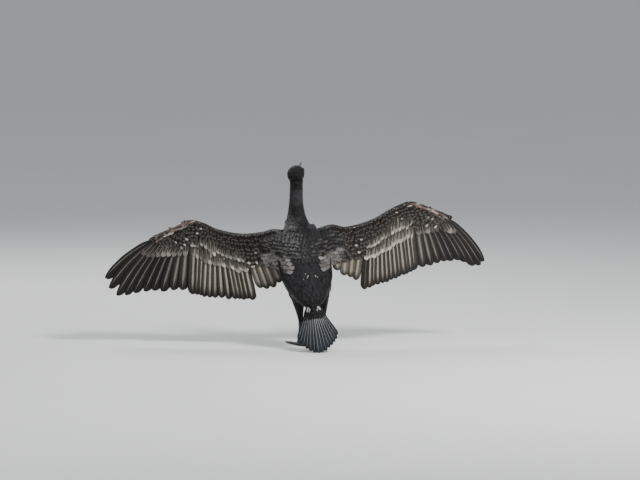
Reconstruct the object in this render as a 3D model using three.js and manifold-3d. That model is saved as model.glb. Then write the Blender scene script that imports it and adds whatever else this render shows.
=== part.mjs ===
// Great cormorant drying its wings: a still, life-size figure.
// Units are millimetres, +Z is up, the bird faces -Y and its left side is +X.
// It stands on both webbed feet with the tip of its tail touching the ground.
import * as THREE from 'three';
import Module from 'manifold-3d';

const wasm = await Module();
wasm.setup();

// Driving dimensions

const gap = 0.3;                       // clearance left between two touching nodes
const bboxShift = new THREE.Vector3(-14, 41, 0);   // puts the middle of the box over the origin

const tailBase = new THREE.Vector3(-11, 98, 150);  // where the rump ends
const neckBase = new THREE.Vector3(11, -122, 356); // where the neck leaves the shoulders
const headCentre = new THREE.Vector3(13, -150, 520);
const headTurn = THREE.MathUtils.degToRad(14.5);   // to the bird's right
const headRaise = THREE.MathUtils.degToRad(13);    // bill above level

const bodyHalfWidth = 82;
const bodyBackDepth = 54;              // from the body's axis to the back
const bodyBellyDepth = 78;             // from the body's axis to the belly
const headHalfWidth = 28;
const neckHalfWidth = 21.5;
const billLength = 63;
const eyeRadius = 6.2;

const tailLength = 171;
const tailFeathers = 14;
const tailFanHalf = THREE.MathUtils.degToRad(25);
const tailFeatherWidth = 25;

const primaries = 10;
const secondaries = 13;
const tertials = 5;
const vaneThickness = 0.8;
const vaneSlope = 0.15;                // each vane tips about its shaft so that it clears the next
const shaftRise = 0.6;                 // how far a shaft stands above its vane

const hipShift = -8;                   // the bird stands a little to its right
const stanceShift = -21;
const hipSpread = 40;
const footSpread = 38;
const heelHeight = 74;                 // ankle joint above the ground
const webThickness = 2.4;
const toeRadius = 4.6;
const toeSides = 6;
const clawSides = 4;

// Each wing lies on a gently bent sheet. Along the span u, measured from the middle
// of the body, its front edge runs through these points: u, y and z.
const wingLeft = {
  name: 'wing_left',
  side: 1,
  front: [[40, -92, 346], [84, -108, 352], [119, -120, 343], [185, -140, 337], [259, -160, 351],
    [304, -170, 370], [334, -174, 377], [376, -176, 360], [451, -176, 326], [519, -168, 283],
    [560, -160, 248], [604, -150, 207]],
  elbow: [[176, 344], [140, 130]],     // line u, z that parts upper arm and forearm
  wrist: [[337, 384], [356, 140]],     // line u, z that parts forearm and hand
  primaryTips: [[370, 168], [400, 166], [429, 163], [456, 164], [484, 161], [514, 157],
    [543, 153], [569, 152], [592, 172], [604, 205]],
  secondaryTips: [[340, 158], [289, 146], [208, 141], [152, 143]],
  tertialTips: [[130, 176], [112, 174], [92, 179], [74, 194], [66, 226]],
};
const wingRight = {
  name: 'wing_right',
  side: -1,
  front: [[40, -92, 352], [90, -112, 364], [136, -124, 356], [221, -148, 376], [278, -164, 405],
    [316, -171, 422], [341, -175, 429], [376, -177, 420], [448, -178, 391], [494, -175, 366],
    [548, -165, 312], [574, -150, 248]],
  elbow: [[196, 372], [170, 150]],
  wrist: [[346, 440], [366, 200]],
  primaryTips: [[380, 229], [405, 235], [429, 240], [453, 245], [476, 248], [500, 249],
    [522, 244], [545, 234], [562, 232], [575, 246]],
  secondaryTips: [[352, 222], [304, 204], [245, 184], [184, 168]],
  tertialTips: [[162, 197], [146, 206], [126, 212], [104, 228], [86, 250]],
};
const chordTilt = 0.42;                // how far the wing leans back for each mm it hangs down
const tipTilt = 0.16;                  // the same at the wing tip
const wingCamber = 11;
const wingChord = 215;

// Helpers

let randomState = 71;
function random() {
  randomState = (randomState * 16807) % 2147483647;
  return randomState / 2147483647;
}

function vary(amount) {
  return (random() * 2 - 1) * amount;
}

function lerp(a, b, t) {
  return a + (b - a) * t;
}

// Value of a table of [key, values...] rows at one key, eased between rows
function along(table, key, column = 1) {
  const last = table.length - 1;
  if (key <= table[0][0]) return table[0][column];
  if (key >= table[last][0]) return table[last][column];
  let i = 0;
  while (table[i + 1][0] < key) i += 1;
  const before = table[Math.max(i - 1, 0)];
  const after = table[Math.min(i + 2, last)];
  const [p, q] = [table[i], table[i + 1]];
  const h = q[0] - p[0];
  const t = (key - p[0]) / h;
  const slopeIn = (q[column] - before[column]) / (q[0] - before[0]);
  const slopeOut = (after[column] - p[column]) / (after[0] - p[0]);
  const t2 = t * t;
  const t3 = t2 * t;
  return (2 * t3 - 3 * t2 + 1) * p[column] + (t3 - 2 * t2 + t) * h * slopeIn
    + (3 * t2 - 2 * t3) * q[column] + (t3 - t2) * h * slopeOut;
}

function solid(points, triangles) {
  const mesh = new wasm.Mesh({
    numProp: 3,
    vertProperties: new Float32Array(points.flatMap((p) => [p.x, p.y, p.z])),
    triVerts: new Uint32Array(triangles.flat()),
  });
  const made = new wasm.Manifold(mesh);
  return made.volume() < 0 ? solid(points, triangles.map(([a, b, c]) => [a, c, b])) : made;
}

// Closed skin over rings of equal length, with a fan at each end
function skin(rings) {
  const count = rings[0].length;
  const points = rings.flat();
  const triangles = [];
  for (let i = 0; i + 1 < rings.length; i += 1) {
    for (let j = 0; j < count; j += 1) {
      const a = i * count + j;
      const b = i * count + ((j + 1) % count);
      triangles.push([a, b, b + count], [a, b + count, a + count]);
    }
  }
  const ends = [[0, true], [(rings.length - 1) * count, false]];
  for (const [start, flip] of ends) {
    const middle = new THREE.Vector3();
    for (let j = 0; j < count; j += 1) middle.add(points[start + j]);
    points.push(middle.divideScalar(count));
    const centre = points.length - 1;
    for (let j = 0; j < count; j += 1) {
      const a = start + j;
      const b = start + ((j + 1) % count);
      triangles.push(flip ? [b, a, centre] : [a, b, centre]);
    }
  }
  return solid(points, triangles);
}

// Loft of egg-shaped sections: each station holds its centre, half width, and its
// reach to the upper and to the lower side of the path
function loft(stations, upper, sides = 18, grow = 0) {
  const rings = stations.map((station, i) => {
    const before = stations[Math.max(i - 1, 0)].at;
    const after = stations[Math.min(i + 1, stations.length - 1)].at;
    const forward = after.clone().sub(before).normalize();
    const across = forward.clone().cross(upper).normalize();
    const up = across.clone().cross(forward).normalize();
    const ring = [];
    for (let j = 0; j < sides; j += 1) {
      const angle = (2 * Math.PI * j) / sides;
      const rise = Math.sin(angle);
      const reach = rise > 0 ? station.up : station.down;
      ring.push(station.at.clone()
        .addScaledVector(across, Math.cos(angle) * (station.half + grow))
        .addScaledVector(up, rise * (reach + grow)));
    }
    return ring;
  });
  return skin(rings);
}

// Joins pieces and keeps the largest closed surface
function fuse(pieces) {
  const joined = pieces.length > 1 ? wasm.Manifold.union(pieces) : pieces[0];
  const bodies = joined.decompose();
  bodies.sort((a, b) => b.volume() - a.volume());
  return bodies[0];
}

function ball(centre, radius, detail = 2) {
  const shape = new THREE.IcosahedronGeometry(radius, detail);
  const places = shape.attributes.position;
  const points = [];
  const known = new Map();
  const triangles = [];
  for (let i = 0; i < places.count; i += 3) {
    const corner = [0, 1, 2].map((k) => {
      const p = new THREE.Vector3().fromBufferAttribute(places, i + k);
      const key = p.toArray().map((v) => v.toFixed(3)).join();
      if (!known.has(key)) {
        known.set(key, points.length);
        points.push(p.add(centre));
      }
      return known.get(key);
    });
    triangles.push(corner);
  }
  return solid(points, triangles);
}

// Thin vane over a bent sheet. place(s, d, n) gives the point at the fraction s of the
// shaft, d to the side of it and n above the sheet.
const vaneLong = [[0, 0.34], [0.2, 0.88], [0.6, 1], [0.91, 0.86], [1, 0.25]];
const vaneShort = [[0, 0.6], [0.72, 1], [1, 0.36]];

function vane({ place, inner, outer, slope = vaneSlope, thick = vaneThickness,
  rise = shaftRise, shape = vaneLong }) {
  const points = [];
  const columns = rise > 0 ? [-1, 0, 1] : [-1, 1];
  for (const [s, share] of shape) {
    for (const face of [1, -1]) {
      for (const column of columns) {
        const d = column * share * (column < 0 ? inner : outer);
        const crest = column === 0 && face > 0 ? rise * (1 - 0.7 * s) : 0;
        points.push(place(s, d, slope * d + face * thick * 0.5 + crest));
      }
    }
  }
  const wide = columns.length;
  const step = 2 * wide;
  const triangles = [];
  const quad = (a, b, c, d) => triangles.push([a, b, c], [a, c, d]);
  for (let i = 0; i + 1 < shape.length; i += 1) {
    const here = i * step;
    const next = here + step;
    for (let j = 0; j + 1 < wide; j += 1) {
      quad(here + j, here + j + 1, next + j + 1, next + j);
      triangles.push([here + wide + j, next + wide + j + 1, here + wide + j + 1],
        [here + wide + j, next + wide + j, next + wide + j + 1]);
    }
    quad(here + wide, here, next, next + wide);
    quad(here + wide - 1, here + step - 1, next + step - 1, next + wide - 1);
  }
  const last = (shape.length - 1) * step;
  for (let j = 0; j + 1 < wide; j += 1) {
    quad(j + 1, j, wide + j, wide + j + 1);
    quad(last + j, last + j + 1, last + wide + j + 1, last + wide + j);
  }
  return solid(points, triangles);
}

// Head, neck and body

const bodyUp = new THREE.Vector3(0, 0.69, 0.72);
const bodyAxis = neckBase.clone().sub(tailBase);
// fraction of the body from tail to neck, half width, reach to the back and to the belly
const bodyShares = [[-0.06, 0.24, 0.22, 0.2], [0, 0.45, 0.42, 0.4], [0.1, 0.66, 0.62, 0.62],
  [0.22, 0.86, 0.82, 0.86], [0.36, 0.98, 0.97, 0.99], [0.5, 1, 1, 1], [0.64, 0.97, 0.98, 0.96],
  [0.76, 0.92, 0.92, 0.88], [0.86, 0.82, 0.8, 0.76], [0.94, 0.67, 0.64, 0.6],
  [1.02, 0.46, 0.46, 0.42], [1.06, 0.25, 0.25, 0.2]];

function bodySolid(grow) {
  const stations = bodyShares.map(([share, half, up, down]) => ({
    at: tailBase.clone().addScaledVector(bodyAxis, share),
    half: half * bodyHalfWidth,
    up: up * bodyBackDepth,
    down: down * bodyBellyDepth,
  }));
  return loft(stations, bodyUp, 22, grow);
}

// rise above the ground, offset to the left, offset forward, half width, half depth
const neckPath = [[300, 6, 92, 60, 54], [334, 9, 118, 51, 46], [362, 11, 136, 41, 40],
  [390, 12, 146, 31, 33], [422, 12.5, 150, 24.5, 27], [458, 12.5, 147, 22, 24],
  [484, 12.5, 143, 21.5, 23], [506, 13, 141, 21.5, 22], [520, 13, 142, 17, 17]];

function neckSolid() {
  const stations = neckPath.map(([z, x, y, half, depth]) => ({
    at: new THREE.Vector3(x, -y, z),
    half: half * (neckHalfWidth / 21.5),
    up: depth,
    down: depth,
  }));
  return loft(stations, new THREE.Vector3(0, 1, 0), 16);
}

const headForward = new THREE.Vector3(
  -Math.sin(headTurn) * Math.cos(headRaise),
  -Math.cos(headTurn) * Math.cos(headRaise),
  Math.sin(headRaise),
);
const headSide = new THREE.Vector3(Math.cos(headTurn), -Math.sin(headTurn), 0);
const headUp = headSide.clone().cross(headForward).negate();
if (headUp.z < 0) headUp.negate();

// Point in the head's own frame: ahead of its centre, to the bird's left, and up
function headPoint(ahead, left, up) {
  return headCentre.clone()
    .addScaledVector(headForward, ahead)
    .addScaledVector(headSide, left)
    .addScaledVector(headUp, up);
}

// along the head, height of the section's middle, half width, up, down
const headShares = [[-37, 0, 0.22, 5, 5], [-33, 0, 0.52, 12, 12], [-25, 0, 0.8, 19, 20],
  [-12, 0, 0.98, 25, 25], [1, 0, 1, 26, 25], [13, 0, 0.94, 23.5, 23], [24, -1, 0.8, 19.5, 20],
  [34, -2, 0.63, 15.5, 17], [42, -3, 0.47, 12.5, 13.5], [47, -3.5, 0.38, 10, 11]];

function headSolid(grow) {
  const stations = headShares.map(([ahead, up, half, above, below]) => ({
    at: headPoint(ahead, 0, up),
    half: half * headHalfWidth,
    up: above,
    down: below,
  }));
  return loft(stations, headUp, 18, grow);
}

const eyeAhead = 25;
const eyeUp = 4;
const eyeOut = 17.2;
function eyeCentre(side) {
  return headPoint(eyeAhead, side * eyeOut, eyeUp);
}

// Ring of skin round the eye, tipped to face outward
function lid(side) {
  const outward = headSide.clone().multiplyScalar(side).addScaledVector(headForward, 0.42).normalize();
  const across = outward.clone().cross(headUp).normalize();
  const up = across.clone().cross(outward).normalize();
  const centre = eyeCentre(side).addScaledVector(outward, 2.6);
  const points = [];
  const triangles = [];
  const turns = 10;
  const sides = 4;
  for (let i = 0; i < turns; i += 1) {
    const turn = (2 * Math.PI * i) / turns;
    const spoke = across.clone().multiplyScalar(Math.cos(turn)).addScaledVector(up, Math.sin(turn));
    for (let j = 0; j < sides; j += 1) {
      const angle = (2 * Math.PI * j) / sides;
      points.push(centre.clone()
        .addScaledVector(spoke, 6.1 + 1.5 * Math.cos(angle))
        .addScaledVector(outward, 1.5 * Math.sin(angle)));
    }
  }
  for (let i = 0; i < turns; i += 1) {
    for (let j = 0; j < sides; j += 1) {
      const a = i * sides + j;
      const b = i * sides + ((j + 1) % sides);
      const c = ((i + 1) % turns) * sides + ((j + 1) % sides);
      const d = ((i + 1) % turns) * sides + j;
      triangles.push([a, b, c], [a, c, d]);
    }
  }
  return solid(points, triangles);
}

// Bill sections: along the head, height, half width, up, down
const billStart = 40;
const upperBill = [[0, 3.2, 12, 7.5, 3.6], [0.14, 2.8, 10.4, 6.4, 3.4], [0.34, 2, 8.2, 5, 3],
  [0.58, 1.4, 6.6, 4.2, 2.6], [0.8, 1.2, 5.6, 4, 2.4], [0.9, 1, 5, 4, 2.6],
  [0.97, -0.6, 4.2, 4, 3.4], [1.02, -3.6, 3, 3.6, 3.8], [1.035, -8.4, 1.4, 2.2, 2.4]];
const lowerBill = [[0, -6, 11.2, 5, 4.6], [0.14, -5.2, 9.8, 4.4, 4.2], [0.34, -4.2, 7.6, 3.6, 3.4],
  [0.58, -3.8, 5.8, 3, 2.8], [0.8, -3.6, 4.6, 2.6, 2.4], [0.92, -3.6, 3.4, 2.2, 2],
  [0.965, -3.8, 2, 1.4, 1.2]];

function billSolid(rows, sides, grow = 0) {
  const stations = rows.map(([share, up, half, above, below]) => ({
    at: headPoint(billStart + share * (billLength + 6), 0, up),
    half,
    up: above,
    down: below,
  }));
  return loft(stations, headUp, sides, grow);
}

// Narrow slit of a nostril in the groove beside the ridge: ahead, out and up
const nostrilPath = [[49, 7.7, 7.5], [57, 6.9, 6.6], [66, 5.8, 5.5]];
const nostrilHalf = 0.7;

function nostril(side) {
  const stations = nostrilPath.map(([ahead, out, up]) => ({
    at: headPoint(ahead, side * out, up), half: nostrilHalf, up: nostrilHalf, down: nostrilHalf,
  }));
  return loft(stations, headUp, 4);
}

// Bare throat pouch under the lower bill
const pouchRows = [[14, -15, 8, 7, 8], [22, -14, 13, 9, 11], [32, -13, 13.5, 9, 11.5],
  [44, -11.5, 11, 7, 8.5], [58, -9.5, 7.5, 4.5, 5], [72, -7.5, 4, 2.5, 2.4]];

function pouchSolid(grow) {
  const stations = pouchRows.map(([ahead, up, half, above, below]) => ({
    at: headPoint(ahead, 0, up),
    half,
    up: above,
    down: below,
  }));
  return loft(stations, headUp, 12, grow);
}

// Wings

function tiltAt(u) {
  return lerp(chordTilt, tipTilt, THREE.MathUtils.smoothstep(u, 250, 560));
}

function onSheet(wing, u, z) {
  const frontY = along(wing.front, u, 1);
  const frontZ = along(wing.front, u, 2);
  const hang = frontZ - z;
  const share = THREE.MathUtils.clamp(hang / wingChord, -0.2, 1.2);
  const y = frontY + hang * tiltAt(u) + wingCamber * 4 * share * (1 - share);
  return new THREE.Vector3(wing.side * u, y, z);
}

// Point n above the wing's upper face, which looks back
function wingPoint(wing, u, z, n = 0) {
  const step = 4;
  const du = onSheet(wing, u + step, z).sub(onSheet(wing, u - step, z));
  const dz = onSheet(wing, u, z + step).sub(onSheet(wing, u, z - step));
  const normal = du.cross(dz).normalize();
  if (normal.y < 0) normal.negate();
  return onSheet(wing, u, z).addScaledVector(normal, n);
}

// Feathered arm: rounded front edge, thin back edge
// share of the chord, thickness above and below as shares of the arm's half thickness
const armSection = [[0, 0.1, 0.1], [0.04, 0.62, 0.5], [0.16, 1, 0.8], [0.38, 0.95, 0.75],
  [0.68, 0.6, 0.45], [1, 0.2, 0.2]];

function armSolid(wing, from, to, count) {
  const rings = [];
  for (let i = 0; i < count; i += 1) {
    const u = lerp(from, to, i / (count - 1));
    const [chord, thick] = armSizes(wing, u);
    const z = along(wing.front, u, 2);
    const upper = armSection.map(([q, top]) => wingPoint(wing, u, z - q * chord, top * thick));
    const lower = armSection.map(([q, , low]) => wingPoint(wing, u, z - q * chord, -low * thick));
    rings.push([...upper, ...lower.reverse()]);
  }
  return skin(rings);
}

// u as a share of the way to the wrist and on to the hand's end, chord, half thickness
const armRows = [[0, 96, 19], [0.3, 100, 17], [0.6, 98, 12], [0.9, 80, 9.5], [1, 70, 9],
  [1.15, 58, 7.5], [1.4, 38, 5]];

function armSizes(wing, u) {
  const share = u / wing.wrist[0][0];
  return [along(armRows, share, 1), along(armRows, share, 2)];
}

// A feather from root to tip in the sheet, bowed a little along its length
function wingVane(wing, { root, tip, inner, outer, lift, liftTip = lift, bow = 0, rise, shape, thick }) {
  const du = tip[0] - root[0];
  const dz = tip[1] - root[1];
  const length = Math.hypot(du, dz);
  const across = [-dz / length, du / length];      // towards the wing tip
  const place = (s, d, n) => {
    const side = d + bow * length * 4 * s * (1 - s);
    const u = root[0] + du * s + across[0] * side;
    const z = root[1] + dz * s + across[1] * side;
    return wingPoint(wing, u, z, n + lerp(lift, liftTip, s));
  };
  return vane({ place, inner, outer, rise, shape, thick });
}

// Point at a fraction of a list of u, z points
function trace(list, share) {
  const rows = list.map(([u, z], i) => [i / (list.length - 1), u, z]);
  return [along(rows, share, 1), along(rows, share, 2)];
}

function handVanes(wing) {
  const pieces = [];
  const [wristU] = wing.wrist[0];
  for (let i = 0; i < primaries; i += 1) {
    const share = i / (primaries - 1);
    const u = wristU + 12 + 96 * share;
    const root = [u, along(wing.front, u, 2) - lerp(34, 10, share)];
    const tip = wing.primaryTips[i];
    pieces.push(wingVane(wing, {
      root,
      tip: [tip[0] + vary(1.5), tip[1] + vary(2)],
      inner: lerp(20, 23, share),
      outer: lerp(13, 7, share),
      lift: 0,
      bow: lerp(0, 0.06, share),
    }));
    if (i < primaries - 1) {
      const reach = lerp(0.4, 0.3, share);
      pieces.push(wingVane(wing, {
        root: [lerp(root[0], tip[0], -0.04), lerp(root[1], tip[1], -0.04)],
        tip: [lerp(root[0], tip[0], reach), lerp(root[1], tip[1], reach)],
        inner: 9, outer: 8, lift: 3.4, rise: 0, shape: vaneShort,
      }));
    }
  }
  for (let i = 0; i < 3; i += 1) {
    const u = wristU + 6 + 5 * i;
    const end = wristU + 62 + 16 * i;
    pieces.push(wingVane(wing, {
      root: [u, along(wing.front, u, 2) - 12 + 3 * i],
      tip: [end, along(wing.front, end, 2) - 15 + 6 * i],
      inner: 7, outer: 6, lift: 6 + 1.6 * i, liftTip: 5 + 1.6 * i, shape: vaneShort,
    }));
  }
  return pieces;
}

function forearmVanes(wing) {
  const pieces = [];
  const outerU = wing.wrist[0][0] - 6;
  const innerU = wing.elbow[0][0] + 2;
  for (let i = 0; i < secondaries; i += 1) {
    const share = (i + 0.35) / (secondaries - 0.3);
    const u = lerp(outerU, innerU, share);
    const z = along(wing.front, u, 2);
    const root = [u, z - lerp(52, 66, share)];
    const tip = trace(wing.secondaryTips, share);
    tip[1] += vary(2);
    const foot = (part) => [lerp(root[0], tip[0], part), lerp(root[1], tip[1], part)];
    pieces.push(wingVane(wing, { root, tip, inner: 13, outer: i === 0 ? 16 : 10, lift: 0 }));
    pieces.push(wingVane(wing, {
      root: foot(-0.1), tip: foot(0.36), inner: 10, outer: 8.5,
      lift: 3.6, liftTip: 3.2, rise: 0, shape: vaneShort,
    }));
    pieces.push(wingVane(wing, {
      root: foot(-0.22), tip: foot(0.12), inner: 9.5, outer: 8,
      lift: 7, liftTip: 6, rise: 0, shape: vaneShort,
    }));
  }
  return pieces;
}

function upperArmVanes(wing) {
  const pieces = [];
  const outerU = wing.elbow[0][0] - 16;
  for (let i = 0; i < tertials; i += 1) {
    const share = i / (tertials - 1);
    const u = lerp(outerU, 88, share);
    const z = along(wing.front, u, 2);
    const root = [u, z - 72];
    const tip = wing.tertialTips[i];
    const foot = (part) => [lerp(root[0], tip[0], part), lerp(root[1], tip[1], part)];
    pieces.push(wingVane(wing, { root, tip, inner: 13, outer: 12, lift: 0 }));
    pieces.push(wingVane(wing, {
      root: foot(-0.2), tip: foot(0.42), inner: 11, outer: 10,
      lift: 4.4, liftTip: 3.6, rise: 0, shape: vaneShort,
    }));
  }
  return pieces;
}

// Keeps the side of a line u, z of the sheet that lies towards the tip or the body
function trimAt(piece, wing, line, outward) {
  const [high, low] = line;
  const a = wingPoint(wing, high[0], high[1]);
  const b = wingPoint(wing, low[0], low[1]);
  const lift = wingPoint(wing, high[0], high[1], 10).sub(a);
  const normal = b.clone().sub(a).cross(lift).normalize();
  if (normal.x * wing.side < 0) normal.negate();
  if (!outward) normal.negate();
  return piece.trimByPlane(normal.toArray(), normal.dot(a) + gap / 2);
}

function wingNodes(wing, body, neck) {
  const elbowU = wing.elbow[0][0];
  const wristU = wing.wrist[0][0];
  const upperArm = fuse([armSolid(wing, 46, elbowU + 30, 9), ...upperArmVanes(wing)]);
  const forearm = fuse([armSolid(wing, elbowU - 50, wristU + 30, 9), ...forearmVanes(wing)]);
  const hand = fuse([armSolid(wing, wristU - 20, wristU + 122, 7), ...handVanes(wing)]);
  const clear = trimAt(upperArm, wing, wing.elbow, false).subtract(body).subtract(neck);
  return [
    [`${wing.name}_upper_arm`, fuse([clear])],
    [`${wing.name}_forearm`, fuse([trimAt(trimAt(forearm, wing, wing.elbow, true), wing, wing.wrist, false)])],
    [`${wing.name}_hand`, fuse([trimAt(hand, wing, wing.wrist, true)])],
  ];
}

// Tail: a fan of stiff feathers on a short root, its tip at the ground

const tailTip = new THREE.Vector3(-30, 174, -1);
const tailAlong = tailTip.clone().sub(tailBase).normalize();
const tailNormal = new THREE.Vector3(0, 1, 0)
  .addScaledVector(tailAlong, -tailAlong.y).normalize();
const tailAcross = tailAlong.clone().cross(tailNormal).normalize();

function tailPoint(out, side, n) {
  const dome = -0.0016 * side * side;
  return tailBase.clone()
    .addScaledVector(tailAlong, out)
    .addScaledVector(tailAcross, side)
    .addScaledVector(tailNormal, n + dome);
}

function tailVane(angle, length, { inner, outer, lift, start = 0, ...rest }) {
  const place = (s, d, n) => {
    const out = start + (length - start) * s;
    return tailPoint(out * Math.cos(angle) - d * Math.sin(angle),
      out * Math.sin(angle) + d * Math.cos(angle) + Math.sin(angle) * 16, n + lift);
  };
  return vane({ place, inner, outer, slope: angle < 0 ? -0.1 : 0.1, ...rest });
}

function tailNode(body) {
  const root = [[-34, 26, 20, 24], [-8, 33, 20, 24], [16, 30, 14, 18], [38, 20, 7, 9], [52, 8, 3, 3]];
  const stations = root.map(([out, half, up, down]) => ({
    at: tailPoint(out, 0, -2), half, up, down,
  }));
  const pieces = [loft(stations, tailNormal, 10)];
  for (let i = 0; i < tailFeathers; i += 1) {
    const share = (i / (tailFeathers - 1)) * 2 - 1;
    const angle = share * tailFanHalf;
    const length = tailLength * (1 - 0.26 * Math.abs(share) ** 1.6) + vary(1.5);
    const layer = -1.25 * Math.abs(i - (tailFeathers - 1) / 2);
    const half = tailFeatherWidth / 2;
    pieces.push(tailVane(angle, length, { inner: half, outer: half, lift: layer + 5 }));
  }
  const coverts = 7;
  for (let i = 0; i < coverts; i += 1) {
    const share = (i / (coverts - 1)) * 2 - 1;
    pieces.push(tailVane(share * tailFanHalf * 0.9, 64 - 12 * Math.abs(share), {
      inner: 9, outer: 9, start: 12, lift: 8.4 - 1.3 * Math.abs(i - 3), rise: 0, shape: vaneShort,
    }));
  }
  const fan = fuse(pieces).trimByPlane([0, 0, 1], 0);
  return fuse([fan.subtract(body)]);
}

// Legs and feet

function ankle(side) {
  return new THREE.Vector3(stanceShift + side * (footSpread - 4), 8, heelHeight);
}

function thighSolid(side, grow) {
  const hip = new THREE.Vector3(hipShift + side * hipSpread, 4, 226);
  const end = ankle(side);
  const rows = [[0, 30, 38], [0.2, 30, 40], [0.42, 26, 34], [0.62, 19, 25], [0.8, 12.5, 15],
    [0.94, 9, 10], [1.0, 7, 8]];
  const stations = rows.map(([share, half, depth]) => ({
    at: hip.clone().lerp(end, share), half, up: depth, down: depth,
  }));
  return loft(stations, new THREE.Vector3(0, -1, 0), 14, grow);
}

const toeRoot = -22;                   // where the toes part, along y
const toeBaseHeight = 9;

function footX(side) {
  return stanceShift + side * footSpread;
}

function shankSolid(side, grow) {
  const top = ankle(side).add(new THREE.Vector3(0, -1, 6));
  const foot = new THREE.Vector3(footX(side), toeRoot, toeBaseHeight);
  const rows = [[0, 7.6, 9], [0.12, 7.8, 9.6], [0.3, 5.8, 8], [0.6, 5, 7.4], [0.85, 6, 8], [1, 7, 7]];
  const stations = rows.map(([share, half, depth]) => ({
    at: top.clone().lerp(foot, share), half, up: depth, down: depth,
  }));
  return loft(stations, new THREE.Vector3(0, -1, 0), 12, grow);
}

// Outer, middle, inner and hind toe: length and heading, 0 straight ahead and positive outward
const toes = [
  { length: 84, heading: 20 },
  { length: 74, heading: -3 },
  { length: 55, heading: -30 },
  { length: 36, heading: -140 },
];

function toeEnd(side, toe, reach = 1) {
  const heading = THREE.MathUtils.degToRad(toe.heading);
  return [
    footX(side) + side * Math.sin(heading) * toe.length * reach,
    toeRoot - Math.cos(heading) * toe.length * reach,
  ];
}

function footNode(side, shank) {
  const pieces = [];
  for (const toe of toes) {
    const [x, y] = toeEnd(side, toe);
    const start = new THREE.Vector3(footX(side), toeRoot, 6);
    const end = new THREE.Vector3(x, y, 3.4);
    const rows = [[0, 1.15], [0.3, 1], [0.45, 0.84], [0.62, 0.95], [0.8, 0.72], [1, 0.66]];
    const stations = rows.map(([share, wide]) => ({
      at: start.clone().lerp(end, share),
      half: toeRadius * wide, up: toeRadius * wide, down: toeRadius * wide,
    }));
    pieces.push(loft(stations, new THREE.Vector3(0, 0, 1), toeSides));
    const claw = [[-2, 2.6, 3.6], [5, 2.1, 3.8], [12.5, 0.4, 1.5]];
    const heading = end.clone().sub(start).setZ(0).normalize();
    const hook = claw.map(([out, radius, z]) => ({
      at: end.clone().addScaledVector(heading, out).setZ(z), half: radius, up: radius, down: radius,
    }));
    pieces.push(loft(hook, new THREE.Vector3(0, 0, 1), clawSides));
  }
  for (let i = 0; i + 1 < toes.length; i += 1) {
    const a = toeEnd(side, toes[i], 0.94);
    const b = toeEnd(side, toes[i + 1], 0.94);
    const sag = 0.82;
    const middle = [0, 1].map((k) => {
      const base = k === 0 ? footX(side) : toeRoot;
      return lerp(base, (a[k] + b[k]) / 2, sag);
    });
    const outline = [[footX(side), toeRoot], a, middle, b];
    const flat = new THREE.Shape(outline.map(([px, py]) => new THREE.Vector2(px, py)));
    const web = new THREE.ExtrudeGeometry(flat, { depth: webThickness, bevelEnabled: false });
    pieces.push(fromGeometry(web));
  }
  const whole = fuse(pieces).trimByPlane([0, 0, 1], 0);
  return fuse([whole.subtract(shank)]);
}

function fromGeometry(geometry) {
  const places = geometry.attributes.position;
  const order = geometry.index
    ? Array.from(geometry.index.array)
    : Array.from({ length: places.count }, (_, i) => i);
  const points = [];
  const known = new Map();
  const corner = order.map((k) => {
    const p = new THREE.Vector3().fromBufferAttribute(places, k);
    const key = p.toArray().map((v) => v.toFixed(3)).join();
    if (!known.has(key)) {
      known.set(key, points.length);
      points.push(p);
    }
    return known.get(key);
  });
  const triangles = [];
  for (let i = 0; i < corner.length; i += 3) triangles.push(corner.slice(i, i + 3));
  return solid(points, triangles);
}

// Colours and finishes

const looks = {
  plumage: { color: 0x252326, roughness: 0.7 },
  wing: { color: 0x3a342f, roughness: 0.72 },
  tail: { color: 0x2c3136, roughness: 0.6 },
  bill: { color: 0x8b8378, roughness: 0.42 },
  pouch: { color: 0xb98a3c, roughness: 0.6 },
  eye: { color: 0x1e6f58, roughness: 0.08 },
  leg: { color: 0x17171a, roughness: 0.5 },
};

// Assembly

function toMesh(name, shape, look) {
  const mesh = shape.getMesh();
  const geometry = new THREE.BufferGeometry();
  geometry.setAttribute('position', new THREE.BufferAttribute(Float32Array.from(mesh.vertProperties), 3));
  geometry.setIndex(new THREE.BufferAttribute(Uint32Array.from(mesh.triVerts), 1));
  geometry.computeVertexNormals();
  const made = new THREE.Mesh(geometry, new THREE.MeshStandardMaterial({ ...looks[look], metalness: 0 }));
  made.name = name;
  return made;
}

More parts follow.
